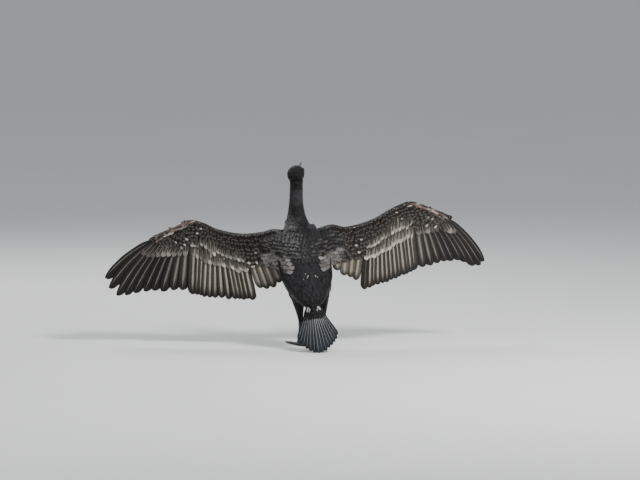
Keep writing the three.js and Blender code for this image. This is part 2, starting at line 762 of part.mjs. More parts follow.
function build() {
  const bird = new THREE.Group();
  const place = (name, shape, look) => bird.add(toMesh(name, shape, look));

  const body = bodySolid(0);
  const bodyGrown = bodySolid(gap);
  const headGrown = headSolid(gap);
  const pouchGrown = pouchSolid(gap);
  const upper = billSolid(upperBill, 12).subtract(headGrown).subtract(nostril(1)).subtract(nostril(-1));
  const lower = billSolid(lowerBill, 12).subtract(billSolid(upperBill, 12, gap))
    .subtract(headGrown).subtract(pouchGrown);
  const eyes = [1, -1].map((side) => ball(eyeCentre(side), eyeRadius));
  const sockets = [1, -1].map((side) => ball(eyeCentre(side), eyeRadius + gap));
  const neckWhole = neckSolid();
  const neck = neckWhole.subtract(headGrown).subtract(bodyGrown).subtract(pouchGrown);

  let head = fuse([headSolid(0), lid(1), lid(-1)]);
  for (const socket of sockets) head = head.subtract(socket);
  place('head', fuse([head]), 'plumage');
  place('bill_upper', fuse([upper]), 'bill');
  place('bill_lower', fuse([lower]), 'bill');
  place('throat_pouch', fuse([pouchSolid(0).subtract(headGrown)]), 'pouch');
  place('eye_left', eyes[0], 'eye');
  place('eye_right', eyes[1], 'eye');
  place('neck', fuse([neck]), 'plumage');
  place('body', body, 'plumage');

  for (const wing of [wingLeft, wingRight]) {
    for (const [name, shape] of wingNodes(wing, bodyGrown, neckWhole)) place(name, shape, 'wing');
  }
  place('tail', tailNode(bodyGrown), 'tail');
  for (const [label, side] of [['left', 1], ['right', -1]]) {
    const thighGrown = thighSolid(side, gap);
    const shankGrown = shankSolid(side, gap);
    place(`thigh_${label}`, fuse([thighSolid(side, 0).subtract(bodyGrown)]), 'plumage');
    const shank = shankSolid(side, 0).subtract(thighGrown).trimByPlane([0, 0, 1], 1);
    place(`shank_${label}`, fuse([shank]), 'leg');
    place(`foot_${label}`, footNode(side, shankGrown), 'leg');
  }
  bird.position.copy(bboxShift);
  return bird;
}

export default build();
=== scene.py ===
"""Great cormorant drying its wings, dressed in skin, feathers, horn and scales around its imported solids."""

import math
import bpy
import numpy as np
from bpy.props import FloatProperty, FloatVectorProperty, IntProperty, PointerProperty
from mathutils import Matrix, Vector
from mathutils.bvhtree import BVHTree


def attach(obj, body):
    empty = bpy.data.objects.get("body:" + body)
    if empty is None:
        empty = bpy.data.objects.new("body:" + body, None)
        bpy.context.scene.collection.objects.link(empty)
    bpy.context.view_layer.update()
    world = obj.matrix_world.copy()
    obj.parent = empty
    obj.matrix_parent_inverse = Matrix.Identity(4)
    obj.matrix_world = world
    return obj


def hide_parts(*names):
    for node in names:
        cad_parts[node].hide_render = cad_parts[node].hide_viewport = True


bl_info = {
    "name": "Cormorant drying its wings",
    "version": (1, 0, 0),
    "blender": (4, 5, 0),
    "location": "3D View > Sidebar > Cormorant",
    "description": "Dresses the cormorant's solids in skin, feathers, horn, scales and eyes",
    "category": "Add Mesh",
}

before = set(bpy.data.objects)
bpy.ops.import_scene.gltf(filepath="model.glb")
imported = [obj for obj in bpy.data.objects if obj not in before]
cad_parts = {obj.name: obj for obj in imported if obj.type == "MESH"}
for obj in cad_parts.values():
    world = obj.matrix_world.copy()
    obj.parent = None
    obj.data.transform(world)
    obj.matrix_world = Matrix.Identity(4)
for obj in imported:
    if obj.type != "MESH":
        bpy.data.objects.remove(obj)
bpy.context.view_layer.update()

# The bird's own measures, in millimetres as its solids have them, turned to metres

MM = 0.001
SHIFT = np.array((-14.0, 41.0, 0.0))
TAIL_BASE = np.array((-11.0, 98.0, 150.0))
NECK_BASE = np.array((11.0, -122.0, 356.0))
HEAD_CENTRE = np.array((13.0, -150.0, 520.0))
HEAD_TURN = math.radians(14.5)
HEAD_RAISE = math.radians(13)
BODY_HALF_WIDTH = 82.0
BODY_BACK_DEPTH = 54.0
BODY_BELLY_DEPTH = 78.0
HEAD_HALF_WIDTH = 28.0
BILL_LENGTH = 63.0
EYE_RADIUS = 6.2
EYE_AHEAD = 25.0
EYE_SIDE = 17.2
EYE_UP = 4.0
LID_RADIUS = 5.6
TAIL_LENGTH = 171.0
TAIL_FEATHERS = 14
TAIL_FAN_HALF = math.radians(25)
HIP_SHIFT = -8.0
HIP_SPREAD = 40.0
HIP_BACK = 4.0
HIP_HEIGHT = 226.0
STANCE_SHIFT = -21.0
FOOT_SPREAD = 38.0
HEEL_IN = 4.0                      # how much nearer the heels stand than the feet
HEEL_HEIGHT = 74.0

# share of the body from tail to neck, half width, reach to the back and to the belly
BODY_ROWS = ((-0.06, 0.24, 0.22, 0.2), (0, 0.45, 0.42, 0.4), (0.1, 0.66, 0.62, 0.62),
             (0.22, 0.86, 0.82, 0.86), (0.36, 0.98, 0.97, 0.99), (0.5, 1, 1, 1),
             (0.64, 0.97, 0.98, 0.96), (0.76, 0.92, 0.92, 0.88), (0.86, 0.82, 0.8, 0.76),
             (0.94, 0.67, 0.64, 0.6), (1.02, 0.46, 0.46, 0.42), (1.06, 0.25, 0.25, 0.2))
# height, place to the left, place ahead, half width, half depth
NECK_ROWS = ((300, 6, 92, 60, 54), (334, 9, 118, 51, 46), (362, 11, 136, 41, 40),
             (390, 12, 146, 31, 33), (422, 12.5, 150, 24.5, 27), (458, 12.5, 147, 22, 24),
             (484, 12.5, 143, 21.5, 23), (506, 13, 141, 21.5, 22), (520, 13, 142, 17, 17))
# along the head, height of the section's middle, half width, reach up and down
HEAD_ROWS = ((-37, 0, 0.22, 5, 5), (-33, 0, 0.52, 12, 12), (-25, 0, 0.8, 19, 20),
             (-12, 0, 0.98, 25, 25), (1, 0, 1, 26, 25), (13, 0, 0.94, 23.5, 23),
             (24, -1, 0.8, 19.5, 20), (34, -2, 0.63, 15.5, 17), (42, -3, 0.47, 12.5, 13.5),
             (47, -3.5, 0.38, 10, 11))

# Each wing lies on a bent sheet. Along the span u its front edge runs through u, y, z.
WING_LEFT = {
    "name": "wing_left",
    "side": 1,
    "front": ((40, -92, 346), (84, -108, 352), (119, -120, 343), (185, -140, 337), (259, -160, 351),
              (304, -170, 370), (334, -174, 377), (376, -176, 360), (451, -176, 326),
              (519, -168, 283), (560, -160, 248), (604, -150, 207)),
    "elbow": ((176, 344), (140, 130)),
    "wrist": ((337, 384), (356, 140)),
    "primary_tips": ((370, 168), (400, 166), (429, 163), (456, 164), (484, 161), (514, 157),
                     (543, 153), (569, 152), (592, 172), (604, 205)),
    "secondary_tips": ((340, 158), (289, 146), (208, 141), (152, 143)),
    "tertial_tips": ((130, 176), (112, 174), (92, 179), (74, 194), (66, 226)),
}
WING_RIGHT = {
    "name": "wing_right",
    "side": -1,
    "front": ((40, -92, 352), (90, -112, 364), (136, -124, 356), (221, -148, 376), (278, -164, 405),
              (316, -171, 422), (341, -175, 429), (376, -177, 420), (448, -178, 391),
              (494, -175, 366), (548, -165, 312), (574, -150, 248)),
    "elbow": ((196, 372), (170, 150)),
    "wrist": ((346, 440), (366, 200)),
    "primary_tips": ((380, 229), (405, 235), (429, 240), (453, 245), (476, 248), (500, 249),
                     (522, 244), (545, 234), (562, 232), (575, 246)),
    "secondary_tips": ((352, 222), (304, 204), (245, 184), (184, 168)),
    "tertial_tips": ((162, 197), (146, 206), (126, 212), (104, 228), (86, 250)),
}
CHORD_TILT = 0.42                  # how far the sheet hangs back for its way down, at the arm
TIP_TILT = 0.16                    # and at the hand's end
TILT_FROM, TILT_TO = 250, 560      # spans between which it changes
WING_CAMBER = 11.0
WING_EXTENT = np.array((620.0, 450.0))
WING_CHORD = 215.0
PRIMARIES = 10
SECONDARIES = 13
TERTIALS = 5
HAND_LENGTH = 122.0                # flesh of the hand beyond the wrist
# share of the chord, thickness above and below; then span share, chord, half thickness
ARM_SECTION = ((0, 0.1, 0.1), (0.04, 0.62, 0.5), (0.16, 1, 0.8), (0.38, 0.95, 0.75),
               (0.68, 0.6, 0.45), (1, 0.2, 0.2))
ARM_ROWS = ((0, 96, 19), (0.3, 100, 17), (0.6, 98, 12), (0.9, 80, 9.5), (1, 70, 9),
            (1.15, 58, 7.5), (1.4, 38, 5))
# share of the thigh from hip to ankle, half width, half depth
THIGH_ROWS = ((0, 30, 38), (0.2, 30, 40), (0.42, 26, 34), (0.62, 19, 25), (0.8, 12.5, 15),
              (0.94, 9, 10), (1.0, 7, 8))

# The bake map: a small feather's patch, the area a form may fill, and the strips of long feathers
PATCH = 0.003
WHOLE_MAP = (0.005, 0.005, 0.99, 0.99)
WING_STRIP_STEP = 0.031
WING_STRIP_WIDTH = 0.026
FIRST_STRIPS = {"primary": 0.02, "secondary": 0.34, "tertial": 0.75, "tail": 0.02}
TAIL_STRIP_STEP = 0.068
TAIL_STRIP_WIDTH = 0.055


class CormorantSizes(bpy.types.PropertyGroup):
    """Sizes of the coat and the fineness of its feathers."""

    coat_depth: FloatProperty(
        name="Coat depth", description="How far the skin lies under the solids' faces",
        default=0.0022, min=0.0005, max=0.006, unit="LENGTH", subtype="DISTANCE")
    skin_voxel: FloatProperty(
        name="Skin voxel", description="Size of the grid that the skin is rebuilt on",
        default=0.0023, min=0.001, max=0.006, unit="LENGTH", subtype="DISTANCE")
    body_feather: FloatProperty(
        name="Body feather", description="Length of a feather on the back and belly",
        default=0.026, min=0.012, max=0.05, unit="LENGTH", subtype="DISTANCE")
    neck_feather: FloatProperty(
        name="Neck feather", description="Length of a feather on the neck",
        default=0.0135, min=0.005, max=0.03, unit="LENGTH", subtype="DISTANCE")
    head_feather: FloatProperty(
        name="Head feather", description="Length of a feather on the crown",
        default=0.0085, min=0.003, max=0.02, unit="LENGTH", subtype="DISTANCE")
    seed: IntProperty(
        name="Seed", description="Start of every random draw", default=7, min=0)


class CormorantColours(bpy.types.PropertyGroup):
    """Colours of plumage, bare skin, horn and eyes."""

    black: FloatVectorProperty(
        name="Body black", description="Head, neck and body feathers", subtype="COLOR",
        size=3, min=0, max=1, default=(0.011, 0.0102, 0.0112))
    covert: FloatVectorProperty(
        name="Wing covert", description="Small coverts of the arm", subtype="COLOR",
        size=3, min=0, max=1, default=(0.021, 0.0165, 0.0135))
    remex: FloatVectorProperty(
        name="Secondary grey", description="Outer face of the secondaries", subtype="COLOR",
        size=3, min=0, max=1, default=(0.05, 0.043, 0.034))
    primary: FloatVectorProperty(
        name="Primary brown", description="Primaries and their coverts", subtype="COLOR",
        size=3, min=0, max=1, default=(0.0105, 0.009, 0.0085))
    shaft: FloatVectorProperty(
        name="Shaft", description="Pale shafts of worn feathers", subtype="COLOR",
        size=3, min=0, max=1, default=(0.46, 0.42, 0.35))
    tip: FloatVectorProperty(
        name="Worn tip", description="Bleached tips and fringes", subtype="COLOR",
        size=3, min=0, max=1, default=(0.55, 0.5, 0.44))
    tail: FloatVectorProperty(
        name="Tail slate", description="Tail feathers", subtype="COLOR",
        size=3, min=0, max=1, default=(0.02, 0.026, 0.033))
    horn: FloatVectorProperty(
        name="Bill horn", description="Sides of the bill", subtype="COLOR",
        size=3, min=0, max=1, default=(0.34, 0.27, 0.23))
    gape: FloatVectorProperty(
        name="Bare skin", description="Throat pouch and gape", subtype="COLOR",
        size=3, min=0, max=1, default=(0.62, 0.32, 0.05))
    iris: FloatVectorProperty(
        name="Iris", description="Green of the eye", subtype="COLOR",
        size=3, min=0, max=1, default=(0.01, 0.2, 0.12))
    leg: FloatVectorProperty(
        name="Leg black", description="Scales and webs", subtype="COLOR",
        size=3, min=0, max=1, default=(0.014, 0.013, 0.015))


# Numbers along tables and in space

def rows_at(rows, key, column=1):
    """Value of a table of rows at a key, eased from row to row."""
    table = np.asarray(rows, float)
    key = np.clip(np.asarray(key, float), table[0, 0], table[-1, 0])
    last = len(table) - 1
    i = np.clip(np.searchsorted(table[:, 0], key, side="right") - 1, 0, last - 1)
    before, here = table[np.maximum(i - 1, 0)], table[i]
    after, then = table[np.minimum(i + 2, last)], table[i + 1]
    h = then[..., 0] - here[..., 0]
    t = (key - here[..., 0]) / h
    slope_in = (then[..., column] - before[..., column]) / (then[..., 0] - before[..., 0])
    slope_out = (after[..., column] - here[..., column]) / (after[..., 0] - here[..., 0])
    return ((2 * t**3 - 3 * t**2 + 1) * here[..., column] + (t**3 - 2 * t**2 + t) * h * slope_in
            + (3 * t**2 - 2 * t**3) * then[..., column] + (t**3 - t**2) * h * slope_out)


def unit(v):
    """Vectors of length one."""
    return v / np.maximum(np.linalg.norm(v, axis=-1, keepdims=True), 1e-12)


def ease(x, low, high):
    """Smooth step from 0 to 1 between two values."""
    t = np.clip((x - low) / (high - low), 0, 1)
    return t * t * (3 - 2 * t)


def rings_of(centres, half, up, down, upper, sides):
    """Egg-shaped rings round a path: an array of stations by sides by 3."""
    ahead = unit(np.gradient(centres, axis=0))
    across = unit(np.cross(ahead, upper))
    rise = np.cross(across, ahead)
    angle = np.linspace(0, 2 * np.pi, sides, endpoint=False)
    reach = np.where(np.sin(angle) > 0, up[:, None], down[:, None])
    return (centres[:, None] + across[:, None] * (np.cos(angle) * half[:, None])[..., None]
            + rise[:, None] * (np.sin(angle) * reach)[..., None])


def body_rings(count=60, sides=48):
    """Rings of the body from tail to neck."""
    share = np.linspace(BODY_ROWS[0][0], BODY_ROWS[-1][0], count)
    centres = TAIL_BASE + share[:, None] * (NECK_BASE - TAIL_BASE)
    half = rows_at(BODY_ROWS, share, 1) * BODY_HALF_WIDTH
    up = rows_at(BODY_ROWS, share, 2) * BODY_BACK_DEPTH
    down = rows_at(BODY_ROWS, share, 3) * BODY_BELLY_DEPTH
    return rings_of(centres, half, up, down, np.array((0, 0.69, 0.72)), sides)


def neck_rings(count=50, sides=36):
    """Rings of the neck from the chest to the nape."""
    z = np.linspace(NECK_ROWS[0][0], NECK_ROWS[-1][0], count)
    centres = np.stack((rows_at(NECK_ROWS, z, 1), -rows_at(NECK_ROWS, z, 2), z), axis=-1)
    half = rows_at(NECK_ROWS, z, 3)
    depth = rows_at(NECK_ROWS, z, 4)
    return rings_of(centres, half, depth, depth, np.array((0, 1.0, 0)), sides)


HEAD_FORWARD = np.array((-math.sin(HEAD_TURN) * math.cos(HEAD_RAISE),
                         -math.cos(HEAD_TURN) * math.cos(HEAD_RAISE), math.sin(HEAD_RAISE)))
HEAD_SIDE = np.array((math.cos(HEAD_TURN), -math.sin(HEAD_TURN), 0.0))
HEAD_UP = np.cross(HEAD_FORWARD, HEAD_SIDE)


def head_point(ahead, left, up):
    """Place in the head's own frame: ahead of its centre, to its left, and up."""
    ahead, left, up = (np.asarray(v, float)[..., None] for v in (ahead, left, up))
    return HEAD_CENTRE + ahead * HEAD_FORWARD + left * HEAD_SIDE + up * HEAD_UP


def head_rings(rows=HEAD_ROWS, count=44, sides=40, width=HEAD_HALF_WIDTH):
    """Rings of the head, or of any rows given in its frame."""
    ahead = np.linspace(rows[0][0], rows[-1][0], count)
    centres = head_point(ahead, 0 * ahead, rows_at(rows, ahead, 1))
    half = rows_at(rows, ahead, 2) * width
    return rings_of(centres, half, rows_at(rows, ahead, 3), rows_at(rows, ahead, 4), HEAD_UP, sides)


def thigh_rings(side, count=26, sides=28):
    """Rings of a feathered thigh from the hip to the ankle."""
    share = np.linspace(0, 1, count)
    hip = np.array((HIP_SHIFT + side * HIP_SPREAD, HIP_BACK, HIP_HEIGHT))
    end = np.array((STANCE_SHIFT + side * (FOOT_SPREAD - HEEL_IN), 8, HEEL_HEIGHT))
    centres = hip + share[:, None] * (end - hip)
    half, depth = rows_at(THIGH_ROWS, share, 1), rows_at(THIGH_ROWS, share, 2)
    return rings_of(centres, half, depth, depth, np.array((0, -1.0, 0)), sides)


# The wing's sheet

def on_sheet(wing, u, z):
    """Place on the wing's bent sheet at span u and height z."""
    front_y = rows_at(wing["front"], u, 1)
    hang = rows_at(wing["front"], u, 2) - z
    tilt = CHORD_TILT + (TIP_TILT - CHORD_TILT) * ease(u, TILT_FROM, TILT_TO)
    share = np.clip(hang / WING_CHORD, -0.2, 1.2)
    y = front_y + hang * tilt + WING_CAMBER * 4 * share * (1 - share)
    return np.stack((wing["side"] * u, y, z + 0 * u), axis=-1)


def wing_point(wing, u, z, n):
    """Place n above the wing's upper face, which looks back."""
    step = 4.0
    du = on_sheet(wing, u + step, z) - on_sheet(wing, u - step, z)
    dz = on_sheet(wing, u, z + step) - on_sheet(wing, u, z - step)
    normal = unit(np.cross(du, dz))
    normal = np.where(normal[..., 1:2] < 0, -normal, normal)
    return on_sheet(wing, u, z) + normal * np.asarray(n)[..., None]


def arm_sizes(wing, u):
    """Chord and half thickness of the fleshy arm."""
    share = u / wing["wrist"][0][0]
    return rows_at(ARM_ROWS, share, 1), rows_at(ARM_ROWS, share, 2)


def arm_face(wing, u, z, face):
    """How far the arm's flesh stands above (1) or below (-1) the sheet."""
    chord, thick = arm_sizes(wing, u)
    share = (rows_at(wing["front"], u, 2) - z) / chord
    spot, above, below = np.transpose(ARM_SECTION)
    rise = np.interp(share, spot, above if face > 0 else below)
    return rise * thick * (1 - ease(share, 1, 1.25)) * ease(share, -0.12, 0.02)


def arm_rings(wing, count=70):
    """Rings of the fleshy arm from the shoulder to the hand's end."""
    u = np.linspace(12, wing["wrist"][0][0] + HAND_LENGTH, count)
    chord, thick = arm_sizes(wing, u)
    z = rows_at(wing["front"], u, 2)
    share = np.linspace(0, 1, 15)
    spot, above, below = np.transpose(ARM_SECTION)
    top, low = np.interp(share, spot, above), np.interp(share, spot, below)
    share = np.concatenate((share, share[::-1]))
    height = np.concatenate((top, -low[::-1]))
    return wing_point(wing, u[:, None] + 0 * share, z[:, None] - share * chord[:, None],
                      height * thick[:, None])


# Gathering meshes

class Pile:
    """Points, faces and marks of many like pieces that become one mesh."""

    def __init__(self):
        self.points, self.faces, self.count = [], [], 0
        self.marks = {"along": [], "across": [], "pale": [], "chance": []}
        self.tints, self.uvs, self.slots = [], [], []

    def add(self, points, faces, tint=(0.5, 0.5, 0.5), uv=None, slot=0, **marks):
        """Adds a piece: points by 3, faces by 4, and marks for each point or for all."""
        n = len(points)
        self.points.append(points)
        self.faces.append(faces + self.count)
        for key, held in self.marks.items():
            held.append(np.broadcast_to(np.asarray(marks.get(key, 0.0), float), (n,)))
        self.tints.append(np.broadcast_to(np.asarray(tint, float), (n, 3)))
        self.uvs.append(np.zeros((n, 2)) if uv is None else np.broadcast_to(uv, (n, 2)))
        self.slots.append(np.full(len(faces), slot, np.int32))
        self.count += n

    def build(self, name, materials, with_map=True):
        """Makes the object, in metres and in the frame of the solids."""
        points = (np.concatenate(self.points) + SHIFT) * MM
        faces = np.concatenate(self.faces).astype(np.int32)
        mesh = bpy.data.meshes.new(name)
        mesh.vertices.add(len(points))
        mesh.vertices.foreach_set("co", points.astype(np.float32).ravel())
        mesh.loops.add(faces.size)
        mesh.loops.foreach_set("vertex_index", faces.ravel())
        mesh.polygons.add(len(faces))
        mesh.polygons.foreach_set("loop_start", np.arange(0, faces.size, 4, dtype=np.int32))
        mesh.polygons.foreach_set("material_index", np.concatenate(self.slots))
        mesh.polygons.foreach_set("use_smooth", np.ones(len(faces), bool))
        mesh.update(calc_edges=True)
        for key, held in self.marks.items():
            layer = mesh.attributes.new(key, "FLOAT", "POINT")
            layer.data.foreach_set("value", np.concatenate(held).astype(np.float32))
        tint = np.ones((len(points), 4), np.float32)
        tint[:, :3] = np.concatenate(self.tints)
        layer = mesh.attributes.new("tint", "FLOAT_COLOR", "POINT")
        layer.data.foreach_set("color", tint.ravel())
        if with_map:
            uv = np.concatenate(self.uvs)[faces.ravel()].astype(np.float32)
            mesh.uv_layers.new(name="OFBake").data.foreach_set("uv", uv.ravel())
        for material in materials:
            mesh.materials.append(material)
        mesh.validate()
        made = bpy.data.objects.new(name, mesh)
        bpy.context.scene.collection.objects.link(made)
        return made


GRIDS = {}


def shell(rows, columns):
    """Faces of a closed thin shell: an upper grid, a lower one and the rim."""
    if (rows, columns) not in GRIDS:
        size = rows * columns
        grid = np.arange(size).reshape(rows, columns)
        a, b = grid[:-1, :-1], grid[:-1, 1:]
        c, d = grid[1:, 1:], grid[1:, :-1]
        upper = np.stack((a, b, c, d), axis=-1).reshape(-1, 4)
        lower = upper[:, ::-1] + size
        ring = np.concatenate((grid[0, :-1], grid[:-1, -1], grid[-1, :0:-1], grid[:0:-1, 0]))
        after = np.roll(ring, -1)
        rim = np.stack((after, ring, ring + size, after + size), axis=-1)
        GRIDS[rows, columns] = np.concatenate((upper, lower, rim))
    return GRIDS[rows, columns]


def tube_faces(stations, sides):
    """Faces of an open tube over rings that follow each other."""
    grid = np.arange(stations * sides).reshape(stations, sides)
    a, d = grid[:-1], grid[1:]
    return np.stack((a, np.roll(a, -1, 1), np.roll(d, -1, 1), d), axis=-1).reshape(-1, 4)


def closed_faces(stations, sides):
    """Faces of a tube whose two ends are closed by strips."""
    faces = [tube_faces(stations, sides)]
    half = sides // 2
    for start, turn in ((0, 1), ((stations - 1) * sides, -1)):
        ring = start + np.arange(sides)
        left, right = ring[:half], ring[half:][::-1]
        strip = np.stack((left[:-1], right[:-1], right[1:], left[1:]), axis=-1)
        faces.append(strip[:, ::turn])
    return np.concatenate(faces)


def small_patch(corner, along, across):
    """Map places of a small feather, from the corner of its patch."""
    return corner + PATCH * np.stack((along, across * 0.5 + 0.5), axis=-1)


def strip_patch(strip, width, along, across):
    """Map places of a long feather that fills a strip of the map."""
    return np.stack((strip + width * (across * 0.5 + 0.5), 0.03 + 0.94 * along), axis=-1)


def vane_points(place, length, inner, outer, rows, columns, rng, *, slope=0.0, thick=0.5,
                cup=0.0, curl=0.0, tip=0.3, quill=0.16, ragged=0.03, bend=0.0, roll=0.0, taper=False):
    """Both faces of one feather's vane, with its marks along and across.

    place puts shares of the length, ways across and heights in space. slope, cup, curl, bend and
    roll shape the vane, tip is the share that its round tip takes, and quill its width at the root.
    """
    s = 1 - (1 - np.linspace(0, 1, rows)) ** 1.35
    c = np.linspace(-1, 1, columns)
    grown = quill + (1 - quill) * (s**0.8 if taper else ease(s, 0, 0.2))
    reach = np.clip((s - (1 - tip)) / tip, 0, 1)
    width = grown * np.sqrt(np.clip(1 - reach**2 * 0.985, 0, 1))
    wear = 1 + rng.normal(0, ragged, (rows, columns)) * (np.abs(c) > 0.9) * (s[:, None] > 0.15)
    d = c * np.where(c < 0, inner, outer) * width[:, None] * wear
    n = slope * d + cup * (1 - (d / max(inner, outer)) ** 2) - cup + curl * s[:, None] ** 2
    n = n - d**2 * roll + 0 * s[:, None]
    s_grid = s[:, None] + 0 * d
    bow = bend * length * 4 * s_grid * (1 - s_grid)
    thickness = thick * (1 - 0.55 * np.abs(c)) * (1 - 0.4 * s[:, None])
    upper = place(s_grid, d + bow, n + thickness / 2)
    lower = place(s_grid, d + bow, n - thickness / 2)
    points = np.concatenate((upper.reshape(-1, 3), lower.reshape(-1, 3)))
    return points, np.tile(s_grid.ravel(), 2), np.tile((c + 0 * d).ravel(), 2)


def shaft_points(place, length, width, rows, *, curl=0.0, bend=0.0):
    """A tapering shaft that stands on the vane."""
    s = np.linspace(0, 0.97, rows)
    half = width * (1 - 0.85 * s)
    angle = np.array((0.25, 0.75, 1.25, 1.75)) * np.pi
    d = np.cos(angle) * half[:, None] * 1.3
    n = np.sin(angle) * half[:, None] + half[:, None] * 0.5 + curl * s[:, None] ** 2
    s_grid = s[:, None] + 0 * d
    bow = bend * length * 4 * s_grid * (1 - s_grid)
    return place(s_grid, d + bow, n).reshape(-1, 3), s_grid.ravel()


# Materials

class Tree:
    """Shorthand for building one material's nodes."""

    def __init__(self, name):
        self.material = bpy.data.materials.new(name)
        self.material.use_nodes = True
        self.nodes = self.material.node_tree.nodes
        self.links = self.material.node_tree.links
        self.shader = self.nodes["Principled BSDF"]

    def link(self, source, target):
        """Links a socket, or sets a value."""
        if isinstance(source, bpy.types.NodeSocket):
            self.links.new(source, target)
        else:
            target.default_value = source

    def mark(self, name, colour=False):
        """Reads a mark of the mesh."""
        node = self.nodes.new("ShaderNodeAttribute")
        node.attribute_name = name
        return node.outputs["Color" if colour else "Fac"]

    def math(self, kind, a, b=0.0):
        """One sum."""
        node = self.nodes.new("ShaderNodeMath")
        node.operation = kind
        self.link(a, node.inputs[0])
        self.link(b, node.inputs[1])
        return node.outputs[0]

    def ramp(self, value, low, high, start=0.0, end=1.0):
        """Smooth step of a value."""
        node = self.nodes.new("ShaderNodeMapRange")
        node.interpolation_type = "SMOOTHSTEP"
        self.link(value, node.inputs["Value"])
        for key, number in (("From Min", low), ("From Max", high), ("To Min", start), ("To Max", end)):
            node.inputs[key].default_value = number
        return node.outputs["Result"]

    def mix(self, share, a, b, kind="MIX"):
        """Mixes two colours."""
        node = self.nodes.new("ShaderNodeMix")
        node.data_type = "RGBA"
        node.blend_type = kind
        self.link(share, node.inputs[0])
        for index, colour in ((6, a), (7, b)):
            if not isinstance(colour, bpy.types.NodeSocket):
                colour = (*colour, 1.0)
            self.link(colour, node.inputs[index])
        return node.outputs[2]

    def noise(self, scale, detail=3.0):
        """Cloudy noise in the object's own space."""
        node = self.nodes.new("ShaderNodeTexNoise")
        node.inputs["Scale"].default_value = scale
        node.inputs["Detail"].default_value = detail
        node.inputs["Roughness"].default_value = 0.55
        self.link(self.place(), node.inputs["Vector"])
        return node.outputs["Fac"]

    def place(self):
        """Place in the object's own space."""
        return self.nodes.new("ShaderNodeTexCoord").outputs["Object"]

    def bump(self, height, strength, distance):
        """Normal bent by a height."""
        node = self.nodes.new("ShaderNodeBump")
        node.inputs["Strength"].default_value = strength
        node.inputs["Distance"].default_value = distance
        self.link(height, node.inputs["Height"])
        return node.outputs["Normal"]

    def done(self, colour, rough=0.5, normal=None, **values):
        """Joins colour, roughness and normal to the shader and sets the rest."""
        if isinstance(colour, bpy.types.NodeSocket):
            self.link(colour, self.shader.inputs["Base Color"])
        else:
            self.shader.inputs["Base Color"].default_value = (*colour, 1.0)
        self.link(rough, self.shader.inputs["Roughness"])
        if normal:
            self.link(normal, self.shader.inputs["Normal"])
        for key, value in values.items():
            self.shader.inputs[key.replace("_", " ")].default_value = value
        return self.material


def feather_material(name, *, shaft, tip, rim=None, rim_width=0.8, shaft_width=0.05, tip_from=0.72,
                     barbs=60.0, rough=0.5, shine=0.15, fringe=0.0, stripe=None, stripe_width=0.4,
                     dark_tip=0.0, edge_share=0.55):
    """Vane finish: barbs that slant from a shaft, worn tips and fringes, all from the marks.

    shaft, tip, rim and stripe are colours; stripe is a paler band beside the shaft, painted sheen on the
    flight feathers. Widths are shares of the half vane, tip_from is a share of its length, and pale marks
    on the feathers say how much of tip, fringe and stripe shows.
    """
    tree = Tree(name)
    across = tree.math("ABSOLUTE", tree.mark("across"))
    along = tree.mark("along")
    pale = tree.mark("pale")
    chance = tree.mark("chance")
    colour = tree.mark("tint", colour=True)
    slant = tree.math("SUBTRACT", tree.math("MULTIPLY", along, barbs),
                      tree.math("MULTIPLY", across, barbs * 0.16))
    wave = tree.math("SINE", tree.math("MULTIPLY", slant, 6.283))
    cloud = tree.noise(70.0, 4.0)
    bright = tree.math("ADD", tree.math("MULTIPLY", wave, 0.1), tree.math("MULTIPLY", cloud, 0.8))
    bright = tree.math("ADD", bright, tree.math("MULTIPLY", chance, 0.4))
    shade = tree.mix(bright, (0.35, 0.35, 0.35), (1.25, 1.25, 1.25))
    colour = tree.mix(1.0, colour, shade, "MULTIPLY")
    # stripe: a paler band beside the shaft, painted sheen where the flight feathers use it
    if stripe:
        uneven = tree.math("ADD", across, tree.math("MULTIPLY", tree.noise(120.0, 2.0), 0.16))
        mask = tree.math("MULTIPLY", tree.ramp(uneven, stripe_width + 0.16, 0.16), pale)
        mask = tree.math("MULTIPLY", mask, tree.ramp(along, 0.97, 0.8))
        colour = tree.mix(mask, colour, stripe)
    if dark_tip:
        colour = tree.mix(tree.ramp(along, 0.7, 0.97, 0.0, dark_tip), colour, (0.012, 0.01, 0.009))
    ragged = tree.math("ADD", along, tree.math("MULTIPLY", tree.noise(160.0, 2.0), 0.12))
    worn = tree.math("MULTIPLY", tree.ramp(ragged, tip_from + 0.06, tip_from + 0.2), pale)
    colour = tree.mix(worn, colour, tip)
    if fringe:
        edge = tree.math("MULTIPLY", tree.ramp(across, 0.4, 0.95), tree.ramp(ragged, 0.5, 0.95))
        edge = tree.math("MULTIPLY", edge, pale)
        colour = tree.mix(tree.math("MULTIPLY", edge, fringe), colour, tip)
    if rim:
        edge = tree.math("MAXIMUM", tree.ramp(across, rim_width, 1.0), tree.ramp(along, 0.9, 1.0))
        colour = tree.mix(tree.math("MULTIPLY", edge, edge_share), colour, rim)
    on_shaft = tree.math("MULTIPLY", tree.ramp(across, shaft_width * 2, shaft_width * 0.6),
                         tree.ramp(along, 1.0, 0.75))
    colour = tree.mix(on_shaft, colour, shaft)
    height = tree.math("ADD", wave, tree.math("MULTIPLY", cloud, 0.6))
    normal = tree.bump(height, 0.35, 0.0004)
    roughness = tree.ramp(cloud, 0.2, 0.8, rough - 0.08, rough + 0.12)
    return tree.done(colour, roughness, normal, Specular_IOR_Level=shine)


def skin_material(colours):
    """Dark skin and down that shows only between feathers."""
    tree = Tree("down_skin")
    cloud = tree.noise(220.0, 5.0)
    fine = tree.noise(900.0, 2.0)
    black = tuple(colours.black)
    colour = tree.mix(cloud, tuple(0.5 * v for v in black), tuple(1.3 * v for v in black))
    return tree.done(colour, 0.75, tree.bump(fine, 0.5, 0.0008), Sheen_Weight=0.3)


# Skin

SKIN_TREE = {}


def blender_mesh(name, rings):
    """Closed mesh object over rings."""
    pile = Pile()
    stations, sides = rings.shape[:2]
    pile.add(rings.reshape(-1, 3), closed_faces(stations, sides))
    return pile.build(name, [], with_map=False)


